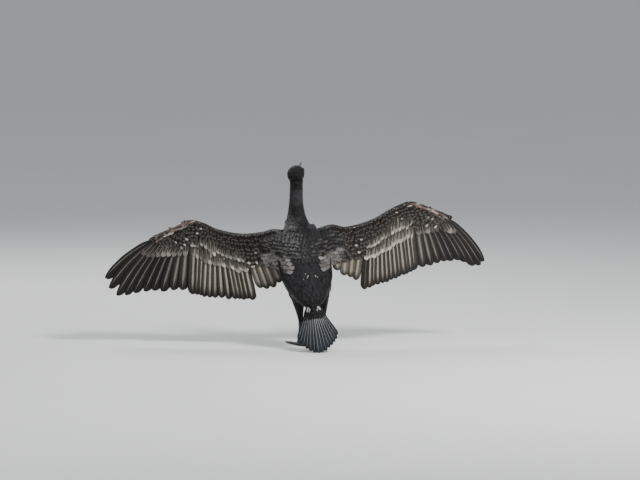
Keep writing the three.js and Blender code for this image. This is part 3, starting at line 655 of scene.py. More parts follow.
def apply_modifier(made, kind, **settings):
    """Adds a modifier, sets it and applies it."""
    modifier = made.modifiers.new(kind.lower(), kind)
    for key, value in settings.items():
        setattr(modifier, key, value)
    bpy.context.view_layer.objects.active = made
    with bpy.context.temp_override(object=made, active_object=made, selected_objects=[made]):
        bpy.ops.object.modifier_apply(modifier=modifier.name)


def skin_tree():
    """Search tree of the skin, with places in millimetres before the shift."""
    return SKIN_TREE["tree"]


class CORMORANT_OT_skin(bpy.types.Operator):
    """Make one skin over head, neck, body, thighs and arms"""

    bl_idname = "cormorant.skin"
    bl_label = "Skin"

    def execute(self, context):
        sizes = context.scene.cormorant_sizes
        rings = [body_rings(), neck_rings(), head_rings(), thigh_rings(1), thigh_rings(-1)]
        rings += [arm_rings(wing) for wing in (WING_LEFT, WING_RIGHT)]
        parts = [blender_mesh(f"part_{i}", ring) for i, ring in enumerate(rings)]
        with context.temp_override(active_object=parts[0], selected_editable_objects=parts,
                                   selected_objects=parts, object=parts[0]):
            bpy.ops.object.join()
        skin = parts[0]
        skin.name = "skin"
        skin.data.name = "skin"
        apply_modifier(skin, "REMESH", mode="VOXEL", voxel_size=sizes.skin_voxel, use_smooth_shade=True)
        apply_modifier(skin, "SMOOTH", factor=0.5, iterations=14)
        apply_modifier(skin, "DISPLACE", strength=-sizes.coat_depth, mid_level=0.0)
        skin.data.materials.clear()
        skin.data.materials.append(skin_material(context.scene.cormorant_colours))
        count = len(skin.data.vertices)
        places = np.empty(count * 3, np.float32)
        skin.data.vertices.foreach_get("co", places)
        places = places.reshape(-1, 3).astype(float) / MM - SHIFT
        faces = [tuple(p.vertices) for p in skin.data.polygons]
        SKIN_TREE["tree"] = BVHTree.FromPolygons([tuple(p) for p in places], faces)
        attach(skin, "root")
        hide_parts("head", "neck", "body", "thigh_left", "thigh_right")
        return {"FINISHED"}


# Body feathers

ROW_GAP = 0.62                     # from row to row, as a share of the step along a row


def dress(pile, rings, lie, rng, *, length, step, tint, width=0.42, rows=4, columns=3, lift=1.6,
          keep=None, far=6.0, radius=90.0, patch=WHOLE_MAP):
    """Lays feathers over a ringed form, each set on the skin along the lie of the coat.

    lie is 1 where the coat runs to the rings' end and -1 where it runs to their start. length,
    keep and a tint that isn't one colour are asked with each feather's place, and step and a
    changing radius, the form's roundness, with the share of the way along the rings. A feather
    whose root is over far from the skin is left out.
    """
    stations, sides = rings.shape[:2]
    middle = rings.mean(axis=1)
    way = np.concatenate(([0], np.cumsum(np.linalg.norm(np.diff(middle, axis=0), axis=1))))
    faces = shell(rows, columns)
    tree = skin_tree()
    place_at = 0.0
    odd = 0
    while place_at < way[-1]:
        share = place_at / way[-1]
        i = min(np.searchsorted(way, place_at, side="right") - 1, stations - 2)
        t = (place_at - way[i]) / max(way[i + 1] - way[i], 1e-9)
        ring = rings[i] * (1 - t) + rings[i + 1] * t
        ahead = unit((rings[i + 1] - rings[i]) * lie)
        local_step = step(share)
        round_skin = radius(share) if callable(radius) else radius
        around = np.linalg.norm(ring - np.roll(ring, -1, 0), axis=1).sum()
        count = max(int(around / local_step), 5)
        for k in range(count):
            turn = ((k + 0.5 * odd) / count + rng.normal(0, 0.06) / count) % 1.0
            spot = turn * sides
            a = int(spot) % sides
            b = (a + 1) % sides
            f = spot - int(spot)
            root = ring[a] * (1 - f) + ring[b] * f
            run = unit(ahead[a] * (1 - f) + ahead[b] * f)
            root = root + run * rng.normal(0, local_step * 0.1)
            hit, normal, _, gone = tree.find_nearest(Vector(root))
            if hit is None or gone > far:
                continue
            hit, normal = np.array(hit), np.array(normal)
            if np.dot(normal, root - middle[i]) < 0:
                normal = -normal
            run = unit(run - normal * np.dot(run, normal))
            side = np.cross(normal, run)
            info = {"share": share, "turn": turn, "root": hit, "normal": normal}
            if keep and not keep(info):
                continue
            sized = length(info) * rng.uniform(0.9, 1.1)
            half = sized * width * rng.uniform(0.92, 1.08)
            sway = rng.normal(0, 0.08)
            run = unit(run + side * sway)
            side = np.cross(normal, run)
            high = lift * rng.uniform(0.75, 1.25)

            def place(s, d, n):
                out = s * sized
                up = n - 0.1 + high * s**0.7 - out**2 / (2 * round_skin)
                return hit + out[..., None] * run + d[..., None] * side + up[..., None] * normal

            points, along, across = vane_points(
                place, sized, half, half, rows, columns, rng, thick=0.35, tip=0.5, quill=0.45,
                roll=1 / (2 * max(round_skin * 0.6, 12)), ragged=0.04)
            colour = tint(info) if callable(tint) else tint
            colour = np.asarray(colour) * rng.uniform(0.88, 1.15)
            x0, y0, x1, y1 = patch
            corner = np.array((x0 + share * (x1 - x0), y0 + turn * (y1 - y0)))
            pile.add(points, faces, colour, small_patch(corner, along, across), along=along,
                     across=across, chance=rng.uniform())
        place_at += local_step * ROW_GAP
        odd = 1 - odd


def feather_object(pile, name, materials, slot, *nodes):
    """Builds a coat piece, sets it on the root and hides the solids that it stands in for."""
    made = pile.build(name, materials)
    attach(made, "root")
    if nodes:
        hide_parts(*nodes)
    return made


class CORMORANT_OT_body_coat(bpy.types.Operator):
    """Lay feathers over back, belly, neck, head and thighs"""

    bl_idname = "cormorant.body_coat"
    bl_label = "Body coat"

    def execute(self, context):
        sizes = context.scene.cormorant_sizes
        colours = context.scene.cormorant_colours
        rng = np.random.default_rng(sizes.seed)
        black = np.array(colours.black)
        mantle = feather_material("mantle_feather", shaft=tuple(1.6 * black), tip=tuple(colours.tip),
                                  rim=(0.006, 0.006, 0.007), rough=0.42)
        sleek = feather_material("sleek_feather", shaft=tuple(1.4 * black), tip=tuple(colours.tip),
                                 rough=0.45)
        body_long = sizes.body_feather / MM
        neck_long = sizes.neck_feather / MM
        head_long = sizes.head_feather / MM

        def body_length(info):
            return body_long * (0.75 + 0.35 * math.sin(math.pi * info["share"]))

        def body_tint(info):
            lower_back = ease(info["root"][2], 330, 240) * (info["normal"][1] > 0)
            return black * (1.0 + 0.5 * lower_back)

        upper, lower = Pile(), Pile()
        for pile, side in ((upper, 1), (lower, -1)):
            dress(pile, body_rings(), -1, rng, length=body_length,
                  step=lambda share: 8.6 + 3.4 * math.sin(math.pi * share), tint=body_tint, rows=5,
                  keep=lambda info, side=side: (info["turn"] < 0.5) == (side > 0),
                  radius=110.0, lift=2.0)
        feather_object(upper, "back_feathers", [mantle], "plumage")
        feather_object(lower, "belly_feathers", [mantle], "plumage")

        def neck_tint(info):
            z = info["root"][2]
            hind = ease(info["normal"][1], 0.1, 0.7)
            # painted sheen: between heights 424 and 484 on the back of the neck the black is mixed towards
            # the paler grey pale, which stands in for light on the glossy feathers
            grey = hind * ease(z, 424, 436) * ease(z, 484, 472)
            flank = (1 - hind) * ease(abs(info["normal"][0]), 0.3, 0.7)
            flank = flank * ease(z, 424, 400) * ease(z, 352, 366)
            pale = np.array((0.05, 0.048, 0.05))
            brown = np.array((0.075, 0.066, 0.058))
            return black * (1 - grey * 0.6 - flank * 0.7) + pale * grey * 0.6 + brown * flank * 0.7

        pile = Pile()
        dress(pile, neck_rings(), -1, rng, length=lambda info: neck_long * (1.7 - 0.9 * info["share"]),
              step=lambda share: 6.8 - 2.6 * share, tint=neck_tint, width=0.34, far=9.0,
              radius=lambda share: 48 + 130 * (1 - ease(share, 0.1, 0.4)), lift=1.5)
        feather_object(pile, "neck_feathers", [sleek], "plumage")

        def feathered(info):
            place = info["root"] - HEAD_CENTRE
            ahead, up = place @ HEAD_FORWARD, place @ HEAD_UP
            side = abs(place @ HEAD_SIDE)
            round_eye = math.hypot(ahead - EYE_AHEAD, up - EYE_UP)
            lores = ahead > 27 and up < 7 and side > 5
            throat = up < -9 and ahead > 12 + 0.5 * (up + 9)
            return round_eye > 9.0 and not lores and not throat and ahead < 45

        pile = Pile()
        dress(pile, head_rings(), -1, rng, length=lambda info: head_long * (1.15 - 0.55 * info["share"]),
              step=lambda share: 4.4 - 1.5 * share, tint=black * 0.8, width=0.3, keep=feathered,
              far=5.0, radius=32.0, lift=0.8)
        feather_object(pile, "head_feathers", [sleek], "plumage")

        pile = Pile()
        for side, patch in ((1, (0.005, 0.5, 0.99, 0.99)), (-1, (0.005, 0.01, 0.99, 0.49))):
            dress(pile, thigh_rings(side), 1, rng, length=lambda info: 20 - 9 * info["share"],
                  step=lambda share: 8 - 3 * share, tint=black, far=5.0, radius=60.0, width=0.36,
                  patch=patch, lift=1.3)
        feather_object(pile, "thigh_feathers", [sleek], "plumage")
        return {"FINISHED"}


# Wings

# span and the heading of the coat there, in degrees from the wing's own outward way
FLOW = ((40, -99), (170, -101), (330, -87), (350, -80), (400, -62), (445, -42), (604, -34))


def trace(points, share):
    """Place at a share of a list of u, z points."""
    rows = [(i / (len(points) - 1), u, z) for i, (u, z) in enumerate(points)]
    return np.array((rows_at(rows, share, 1), rows_at(rows, share, 2)))


def wing_feather(pile, wing, rng, *, root, tip, inner, outer, lift, lift_tip=None, tint, rows=14,
                 columns=7, face=1, shaft=0.0, slope=0.15, bend=0.0, curl=0.0, cup=0.0, tip_round=0.3,
                 pale=0.0, hug=0.0, quill=0.2, ragged=0.02, strip=None):
    """One feather between two places of the sheet, on its upper or its lower face.

    lift and lift_tip are its heights at root and tip, hug is how far it follows the arm's flesh,
    shaft is the shaft's half width, and strip its place on the bake map if it fills a strip there.
    """
    root, tip = np.asarray(root, float), np.asarray(tip, float)
    delta = tip - root
    length = float(np.hypot(*delta))
    across_way = np.array((-delta[1], delta[0])) / length
    lift_tip = lift if lift_tip is None else lift_tip

    def place(s, d, n):
        u = root[0] + delta[0] * s + across_way[0] * d
        z = root[1] + delta[1] * s + across_way[1] * d
        rise = n + lift + (lift_tip - lift) * s
        if hug:
            rise = rise + hug * arm_face(wing, u, z, face)
        return wing_point(wing, u, z, face * rise)

    points, along, across = vane_points(place, length, inner, outer, rows, columns, rng, slope=slope,
                                        cup=cup, curl=curl, tip=tip_round, bend=bend, quill=quill,
                                        ragged=ragged)
    if strip is None:
        out, high = root / WING_EXTENT
        corner = np.array((0.02 + 0.94 * out, 0.02 + 0.46 * high + 0.5 * (face < 0)))
        uv = small_patch(corner, along, across)
    else:
        uv = strip_patch(strip, WING_STRIP_WIDTH, along, across)
    chance = rng.uniform()
    faces = shell(rows, columns)
    pile.add(points, faces if face > 0 else faces[:, ::-1], tint, uv, along=along, across=across,
             pale=pale, chance=chance)
    if shaft:
        points, along = shaft_points(place, length, shaft, rows, curl=curl, bend=bend)
        corner = uv[len(uv) // 4] if strip is None else np.array((strip + WING_STRIP_WIDTH / 2, 0.5))
        pile.add(points, closed_faces(rows, 4), tint, corner, slot=1, along=along, pale=pale,
                 chance=chance)


def along_flow(u, z, length, turn=0.0):
    """Tip of a feather of a given length that lies with the wing's coat."""
    angle = math.radians(float(rows_at(FLOW, u, 1)) + turn)
    return np.array((u + math.cos(angle) * length, z + math.sin(angle) * length))


def primary_root(wing, i):
    """Share along the hand of a primary and its root's place."""
    share = i / (PRIMARIES - 1)
    u = wing["wrist"][0][0] + 12 + 96 * share
    return share, np.array((u, rows_at(wing["front"], u, 2) - 34 + 24 * share))


def secondary_root(wing, i):
    """Share along the forearm of a secondary and its root's place."""
    share = (i + 0.35) / (SECONDARIES - 0.3)
    u = (wing["wrist"][0][0] - 6) * (1 - share) + (wing["elbow"][0][0] + 2) * share
    return share, np.array((u, rows_at(wing["front"], u, 2) - 52 - 14 * share))


def flight_feathers(pile, wing, rng, colours):
    """Primaries, secondaries and tertials."""
    primary, remex = np.array(colours.primary), np.array(colours.remex)
    front = wing["front"]
    for i in range(PRIMARIES):
        share, root = primary_root(wing, i)
        tip = np.array(wing["primary_tips"][i], float) + rng.normal(0, 1.2, 2)
        outer_dark = ease(share, 0.0, 0.35)
        mixed = remex * (1 - outer_dark) * 0.6 + primary * (0.4 + 0.6 * outer_dark)
        # pale sets the strength of the painted sheen stripe and the shaft's paleness, most on the inner
        # primaries
        wing_feather(pile, wing, rng, root=root, tip=tip, inner=20 + 4 * share, outer=14 - 7 * share,
                     lift=0, tint=mixed * rng.uniform(0.85, 1.15), rows=22, columns=9, shaft=0.95,
                     pale=0.3 * (1 - ease(share, 0.0, 0.45)) + 0.04,
                     bend=0.065 * share, curl=-2.0, tip_round=0.16 + 0.1 * share,
                     strip=FIRST_STRIPS["primary"] + WING_STRIP_STEP * i, quill=0.3, ragged=0.025)
    for i in range(SECONDARIES):
        share, root = secondary_root(wing, i)
        tip = trace(wing["secondary_tips"], share) + rng.normal(0, 1.3, 2)
        dark = wing is WING_RIGHT and i == SECONDARIES - 1
        # pale sets the strength of the painted sheen stripe and the shaft's paleness; the dark innermost
        # secondary of the right wing gets almost none
        wing_feather(pile, wing, rng, root=root, tip=tip, inner=14, outer=16 if i == 0 else 10.5,
                     lift=0, tint=remex * rng.uniform(0.7, 1.15) * (0.35 if dark else 1), rows=18,
                     columns=9, shaft=1.0, tip_round=0.13,
                     strip=FIRST_STRIPS["secondary"] + WING_STRIP_STEP * i, quill=0.4, ragged=0.02,
                     pale=0.05 if dark else rng.uniform(0.7, 1.0))
    for i in range(TERTIALS):
        share = i / (TERTIALS - 1)
        u = (wing["elbow"][0][0] - 16) * (1 - share) + 88 * share
        root = np.array((u, rows_at(front, u, 2) - 72))
        # the tertials' paler grey is partly worn feathers and partly painted sheen, and pale gives them the
        # painted sheen stripe too
        wing_feather(pile, wing, rng, root=root, tip=wing["tertial_tips"][i], inner=15, outer=13,
                     lift=0, tint=remex * 2.2, rows=14, columns=9, shaft=1.0, tip_round=0.25,
                     strip=FIRST_STRIPS["tertial"] + WING_STRIP_STEP * i, quill=0.5, pale=0.7)


# greater and median coverts: start and end as shares of their secondary, half width, lift, darkness
COVERT_ROWS = ((-0.1, 0.38, 9.8, 3.4, 0.75), (-0.24, 0.15, 9.4, 5.4, 0.5))


def long_coverts(pile, wing, rng, colours):
    """Greater and median coverts, primary coverts and thumb feathers."""
    covert, remex = np.array(colours.covert), np.array(colours.remex)
    wrist = wing["wrist"][0][0]
    front = wing["front"]
    for i in range(SECONDARIES):
        share, root = secondary_root(wing, i)
        run = trace(wing["secondary_tips"], share) - root
        near = 1 - ease(share, 0.0, 0.35)
        for low, high, wide, lift, dark in COVERT_ROWS:
            jig = rng.normal(0, 0.02)
            low = low + 0.13 * near * (low < -0.2)
            lift = lift - 2.4 * near
            wing_feather(pile, wing, rng, root=root + run * low, tip=root + run * (high + jig),
                         inner=wide + 0.8, outer=wide, lift=lift, lift_tip=lift - 0.6,
                         tint=covert * (1 - dark) + remex * dark, rows=9, columns=7, shaft=0.6,
                         pale=rng.uniform(0.1, 1.0), hug=0.45, quill=0.5)
    for i in range(PRIMARIES - 1):
        share, root = primary_root(wing, i)
        tip = np.array(wing["primary_tips"][i], float)
        reach = 0.42 - 0.08 * share
        wing_feather(pile, wing, rng, root=root - (tip - root) * 0.05, tip=root + (tip - root) * reach,
                     inner=9.5, outer=8.5, lift=3.2, lift_tip=2.6, tint=covert * 1.1, rows=10, columns=7,
                     shaft=0.5, pale=rng.uniform(0.0, 0.4), quill=0.5)
    white, rust = np.array((0.42, 0.37, 0.33)), np.array((0.13, 0.062, 0.05))
    streaks = (white, covert, rust, covert * 1.4, white * 0.5, rust * 1.5, covert)
    for i in range(21):
        u = wrist - 14 + 4.6 * i
        end = u + rng.uniform(24, 50)
        wing_feather(pile, wing, rng, root=(u, rows_at(front, u, 2) - 5 - rng.uniform(0, 15)),
                     tip=(end, rows_at(front, end, 2) - rng.uniform(1, 22)), inner=2.3, outer=1.9,
                     lift=2.2 + 0.5 * (i % 3), lift_tip=3.4 + 0.6 * (i % 3),
                     tint=streaks[i % 7] * rng.uniform(0.8, 1.1), rows=10, columns=5, shaft=0.4, pale=0.2,
                     quill=0.5, ragged=0.14, hug=1.0)


def ragged_edge(pile, wing, rng, colours):
    """Small worn feathers that stand up along the front edge at the wrist."""
    covert = np.array(colours.covert)
    wrist = wing["wrist"][0][0]
    for i in range(34):
        u = wrist - 62 + 3.6 * i + rng.normal(0, 1.2)
        z = rows_at(wing["front"], u, 2) - 5 - rng.uniform(0, 4)
        size = rng.uniform(10, 15)
        angle = math.radians(rng.normal(14, 16) - 22 * ease(u, wrist, wrist + 50))
        tip = (u + math.cos(angle) * size, z + math.sin(angle) * size)
        wing_feather(pile, wing, rng, root=(u, z), tip=tip, inner=2.6, outer=2.6, lift=1.0, lift_tip=1.8,
                     tint=covert * rng.uniform(0.5, 1.2), rows=6, columns=5, hug=1.0, tip_round=0.6,
                     pale=0.5 * (rng.uniform() < 0.2), quill=0.6, ragged=0.08)


def small_coverts(pile, wing, rng, colours, face):
    """Rows of small coverts over the arm and hand, on the upper or lower face."""
    covert, remex = np.array(colours.covert), np.array(colours.remex)
    wrist = wing["wrist"][0][0]
    last = wrist + HAND_LENGTH
    rows = 8 if face > 0 else 7
    for row in range(rows):
        down = 0.02 + 0.74 * row / (rows - 1)
        size = 12 + 13 * (row / (rows - 1)) ** 0.8
        u = 26.0 + (row % 2) * size * 0.3
        while u < last - 66 * row / rows:
            chord, _ = arm_sizes(wing, u)
            z = rows_at(wing["front"], u, 2) - down * chord + rng.normal(0, 1.2) * (row > 0)
            tip = along_flow(u, z, size * rng.uniform(0.95, 1.3), rng.normal(0, 7))
            spotted = rng.uniform() < (0.025 if row < rows - 2 else 0.14)
            worn = 0.32 + 0.6 * row / (rows - 1) if face > 0 else 0.6
            tint = covert * rng.uniform(0.7, 1.2) * worn
            pale = rng.uniform(0.5, 0.9) if spotted and face > 0 else 0.1 * (face > 0)
            wing_feather(pile, wing, rng, root=(u, z), tip=tip, inner=size * 0.36, outer=size * 0.36,
                         lift=0.2, lift_tip=2.2, tint=tint, rows=6, columns=5, face=face, hug=1.0,
                         slope=0.1, cup=0.8, tip_round=0.5, pale=pale, quill=0.6, ragged=0.03)
            u += size * rng.uniform(0.4, 0.58)
    if face < 0:
        for i in range(15):
            share = i / 14
            u = (wrist - 4) * (1 - share) + 100 * share
            z = rows_at(wing["front"], u, 2) - 62
            tip = along_flow(u, z, 52)
            wing_feather(pile, wing, rng, root=(u, z), tip=tip, inner=11, outer=10, lift=2.4,
                         tint=remex * 0.5, rows=8, columns=5, face=-1, quill=0.5, pale=0.1, hug=0.3)


# small white feathers scattered over the back: place to the left, height and length
WHITE = (0.5, 0.49, 0.46)
FLECKS = ((-2, 226, 5), (3, 221, 4), (-23, 226, 5), (-29, 223, 4), (34, 305, 4), (-43, 275, 5),
          (-74, 281, 6), (6, 232, 3), (49, 338, 5), (14, 216, 3))
DRAPE_STEP = 3.0
DRAPE_X = np.arange(-204.0, 205.0, DRAPE_STEP)
DRAPE_Z = np.arange(140.0, 402.0, DRAPE_STEP)
BEHIND = 400.0                     # from where rays look at the back
MANTLE_TOP = 388.0                 # height of the highest row of mantle feathers


def blurred(field, passes=5):
    """Blur that leaves out places without a value."""
    known = np.isfinite(field)
    value, weight = np.where(known, field, 0.0), known.astype(float)
    for _ in range(passes):
        for axis in (0, 1):
            value = value + np.roll(value, 1, axis) + np.roll(value, -1, axis)
            weight = weight + np.roll(weight, 1, axis) + np.roll(weight, -1, axis)
    return value / np.maximum(weight, 1e-9)


def drape_field():
    """How far back skin and wing sheets reach, as seen from behind: as found, and as draped.

    The draped field bridges the valley between back and arm and has values everywhere.
    """
    tree = skin_tree()
    field = np.full((len(DRAPE_X), len(DRAPE_Z)), np.nan)
    for i, x in enumerate(DRAPE_X):
        wing = WING_LEFT if x > 0 else WING_RIGHT
        u = abs(x)
        front_z = float(rows_at(wing["front"], u, 2))
        for j, z in enumerate(DRAPE_Z):
            hit = tree.ray_cast(Vector((x, BEHIND, z)), Vector((0.0, -1.0, 0.0)))[0]
            reach = [hit[1]] if hit else []
            if u > 56 and front_z - 170 < z < front_z - 4:
                reach.append(float(on_sheet(wing, u, z)[1]) + 4.0)
            if reach:
                field[i, j] = max(reach)
    bridged = field.copy()
    for j, z in enumerate(DRAPE_Z):
        share = float(ease(z, 250, 292))
        for side in (1, -1):
            out = side * DRAPE_X
            chosen = np.flatnonzero((out > 6) & (out < 136) & np.isfinite(field[:, j]))
            if share > 0 and len(chosen) > 2:
                hull = taut(DRAPE_X[chosen], field[chosen, j])
                bridged[chosen, j] = field[chosen, j] + share * (hull - field[chosen, j])
    smooth = blurred(bridged)
    return field, np.fmax(bridged, smooth)


def taut(x, y):
    """Heights of a line drawn taut over points that are ordered along x."""
    kept = []
    for point in zip(x, y):
        while len(kept) > 1:
            (ax, ay), (bx, by) = kept[-2], kept[-1]
            if (by - ay) * (point[0] - ax) > (point[1] - ay) * (bx - ax):
                break
            kept.pop()
        kept.append(point)
    return np.interp(x, [k[0] for k in kept], [k[1] for k in kept])


def is_held(field, x, z):
    """Whether skin or wing lies under a place."""
    i = int(np.clip(round((x - DRAPE_X[0]) / DRAPE_STEP), 0, len(DRAPE_X) - 1))
    j = int(np.clip(round((z - DRAPE_Z[0]) / DRAPE_STEP), 0, len(DRAPE_Z) - 1))
    return bool(np.isfinite(field[i, j]))


def drape_at(field, x, z):
    """Reach of the draped field at a place."""
    i = np.clip((x - DRAPE_X[0]) / DRAPE_STEP, 0, len(DRAPE_X) - 1.001)
    j = np.clip((z - DRAPE_Z[0]) / DRAPE_STEP, 0, len(DRAPE_Z) - 1.001)
    a, b = i.astype(int), j.astype(int)
    f, g = i - a, j - b
    return ((field[a, b] * (1 - g) + field[a, b + 1] * g) * (1 - f)
            + (field[a + 1, b] * (1 - g) + field[a + 1, b + 1] * g) * f)


def draped_feather(pile, field, rng, x, z, angle, length, half, tint, pale=0.0, lift=2.0, slot=0):
    """One rounded feather that hangs over the draped field; angle leans it to the left."""
    run = np.array((math.sin(angle), -math.cos(angle)))
    across_way = np.array((math.cos(angle), math.sin(angle)))

    def place(s, d, n):
        px = x + run[0] * length * s + across_way[0] * d
        pz = z + run[1] * length * s + across_way[1] * d
        y = drape_at(field, px, pz) + n + 1.2 + lift * s
        return np.stack((px, y, pz), axis=-1)

    points, along, across = vane_points(place, length, half, half, 9, 7, rng, thick=0.4, cup=0.9,
                                        tip=0.6, quill=0.6, curl=0.5, ragged=0.03)
    corner = np.array((0.04 + 0.9 * (x + 200) / 400, 0.04 + 0.9 * (z - 140) / 260))
    pile.add(points, shell(9, 7), tint, small_patch(corner, along, across), along=along,
             across=across, pale=pale, chance=rng.uniform(), slot=slot)


def shoulders(pile, rng, colours):
    """Mantle and shoulder feathers that flow from the neck over back and arms."""
    # worn is the secondaries' grey, mixed into the lower scapulars for worn feathers and for painted sheen
    black, worn = np.array(colours.black), np.array(colours.remex)
    raw, field = drape_field()
    for x, z, size in FLECKS:
        draped_feather(pile, field, rng, x, z, rng.normal(0, 0.4), size, 0.28 * size, WHITE, 1.0,
                       lift=2.6)
    for row in range(11):
        down = 10.5 * row
        z = MANTLE_TOP - down
        reach = 22 + 36 * ease(z, 384, 352)
        for k in range(-6, 7):
            x = 12 - 0.1 * down + reach * k / 6 + (row % 2) * 4.0 + rng.normal(0, 0.8)
            if is_held(raw, x, z - 4):
                draped_feather(pile, field, rng, x, z + rng.normal(0, 1), 0.009 * (x - 8),
                               21 + rng.uniform(0, 4), 6.8, black * rng.uniform(0.55, 0.75), lift=0.8)
    for side, wing in ((1, WING_LEFT), (-1, WING_RIGHT)):
        for row in range(9):
            for k in range(13):
                u = 18.0 + 10.0 * k + (row % 2) * 5 + rng.normal(0, 1)
                top = float(rows_at(wing["front"], max(u, 50.0), 2)) - 6
                z = top - 10.0 * row + rng.normal(0, 1)
                low = row >= 5 - (u > 90)
                if u > 142 - 4 * row or not is_held(raw, side * u, z - 4):
                    continue
                if low and (u < 42 or u > 118 - 7 * (row - 5)):
                    continue
                size = 26 + 0.9 * row + rng.uniform(-1, 2)
                tint = black * rng.uniform(0.5, 0.8)
                # the lower scapulars' greyer tint is partly worn feathers and partly painted sheen
                if low:
                    tint = black * 0.5 + worn * rng.uniform(0.12, 0.45)
                draped_feather(pile, field, rng, side * u, z, side * (0.05 + 0.0024 * u), size,
                               size * 0.37, tint, rng.uniform(0.2, 0.8) if low else rng.uniform(0, 0.15),
                               lift=1.8, slot=int(low))


class CORMORANT_OT_wings(bpy.types.Operator):
    """Make flight feathers, coverts and shoulder feathers of both wings"""

    bl_idname = "cormorant.wings"
    bl_label = "Wings"

    def execute(self, context):
        colours = context.scene.cormorant_colours
        tip, shaft = tuple(colours.tip), tuple(colours.shaft)
        quill = Tree("quill")
        ivory = quill.mix(quill.ramp(quill.mark("along"), 0.2, 1.0), shaft, (0.1, 0.085, 0.07))
        ivory = quill.mix(quill.ramp(quill.mark("pale"), 0.0, 0.6), (0.05, 0.042, 0.036), ivory)
        quill = quill.done(ivory, 0.35, Specular_IOR_Level=0.3)
        # the flight feathers' stripe colour is painted sheen: a pale band beside each shaft stands in for
        # light on the folded vanes
        flight = feather_material("flight_feather", shaft=shaft, tip=tip, rim=(0.012, 0.01, 0.009),
                                  rim_width=0.66, shaft_width=0.03, tip_from=2.0, dark_tip=0.8,
                                  barbs=150.0, stripe=(0.36, 0.33, 0.275), stripe_width=0.3,
                                  edge_share=0.8)
        covert = feather_material("covert_feather", shaft=(0.2, 0.18, 0.15), tip=tip, shaft_width=0.05,
                                  tip_from=0.76, barbs=50.0, stripe=(0.17, 0.15, 0.12),
                                  stripe_width=0.3, fringe=0.75)
        small = feather_material("small_covert", shaft=(0.05, 0.04, 0.035), tip=tip, tip_from=0.68,
                                 rim=(0.008, 0.007, 0.006), barbs=40.0, rough=0.45)
        shoulder = feather_material("shoulder_feather", shaft=(0.06, 0.055, 0.05), tip=(0.3, 0.28, 0.26),
                                    rim=(0.006, 0.006, 0.007), rim_width=0.78, tip_from=0.55,
                                    barbs=50.0, rough=0.38, edge_share=0.8)
        for index, wing in enumerate((WING_LEFT, WING_RIGHT)):
            rng = np.random.default_rng(context.scene.cormorant_sizes.seed + 11 + index)
            name = wing["name"]
            pile = Pile()
            flight_feathers(pile, wing, rng, colours)
            feather_object(pile, f"{name}_flight", [flight, quill], "wing_feather",
                           f"{name}_upper_arm", f"{name}_forearm", f"{name}_hand")
            pile = Pile()
            long_coverts(pile, wing, rng, colours)
            feather_object(pile, f"{name}_coverts", [covert, quill], "wing_feather")
            pile = Pile()
            small_coverts(pile, wing, rng, colours, 1)
            ragged_edge(pile, wing, rng, colours)
            feather_object(pile, f"{name}_small_coverts", [small], "wing_feather")
            pile = Pile()
            small_coverts(pile, wing, rng, colours, -1)
            feather_object(pile, f"{name}_lining", [small], "wing_feather")
        pile = Pile()
        shoulders(pile, np.random.default_rng(context.scene.cormorant_sizes.seed + 23), colours)
        black = tuple(1.6 * v for v in colours.black)
        gloss = feather_material("mantle_gloss", shaft=black, tip=tip, rim=(0.004, 0.004, 0.005),
                                 rough=0.42, shine=0.2, barbs=40.0)
        feather_object(pile, "shoulder_feathers", [gloss, shoulder], "plumage")
        return {"FINISHED"}


# Tail

TAIL_TIP = np.array((-30.0, 174.0, -1.0))
TAIL_ALONG = unit(TAIL_TIP - TAIL_BASE)
TAIL_NORMAL = unit(np.array((0, 1.0, 0)) - TAIL_ALONG * TAIL_ALONG[1])
TAIL_ACROSS = np.cross(TAIL_ALONG, TAIL_NORMAL)
CLEAR_OF_FLOOR = 0.05


def tail_point(out, side, n):
    """Place on the tail's slightly domed fan."""
    dome = -0.0016 * side**2
    return (TAIL_BASE + np.asarray(out)[..., None] * TAIL_ALONG + np.asarray(side)[..., None] * TAIL_ACROSS
            + np.asarray(n + dome)[..., None] * TAIL_NORMAL)


def tail_feather(pile, rng, angle, start, length, inner, lift, tint, *, outer=None, rows=18,
                 columns=9, face=1, shaft=0.0, strip=None, **shape):
    """One feather of the fan or of its coverts, at an angle from the fan's middle.

    strip is its place on the bake map if it fills a strip there, and shape goes to vane_points.
    """
    def place(s, d, n):
        out = start + (length - start) * s
        wide = math.sin(angle) * 16
        return tail_point(out * math.cos(angle) - d * math.sin(angle),
                          out * math.sin(angle) + d * math.cos(angle) + wide, face * n + lift)

    slope = -0.1 if angle < 0 else 0.1
    outer = inner if outer is None else outer
    points, along, across = vane_points(place, length - start, inner, outer, rows, columns, rng,
                                        slope=slope, **shape)
    points[:, 2] = np.maximum(points[:, 2], CLEAR_OF_FLOOR)
    if strip is None:
        corner = np.array((0.5 + 0.4 * math.sin(angle), 0.04 + 0.2 * start / 60 + 0.5 * (face < 0)))
        uv = small_patch(corner, along, across)
    else:
        uv = strip_patch(strip, TAIL_STRIP_WIDTH, along, across)
    chance = rng.uniform()
    pile.add(points, shell(rows, columns), tint, uv, along=along, across=across, chance=chance)
    if shaft:
        points, along = shaft_points(place, length - start, shaft, rows)
        points[:, 2] = np.maximum(points[:, 2], CLEAR_OF_FLOOR)
        pile.add(points, closed_faces(rows, 4), tint, uv[len(uv) // 4], slot=1, along=along,
                 chance=chance)


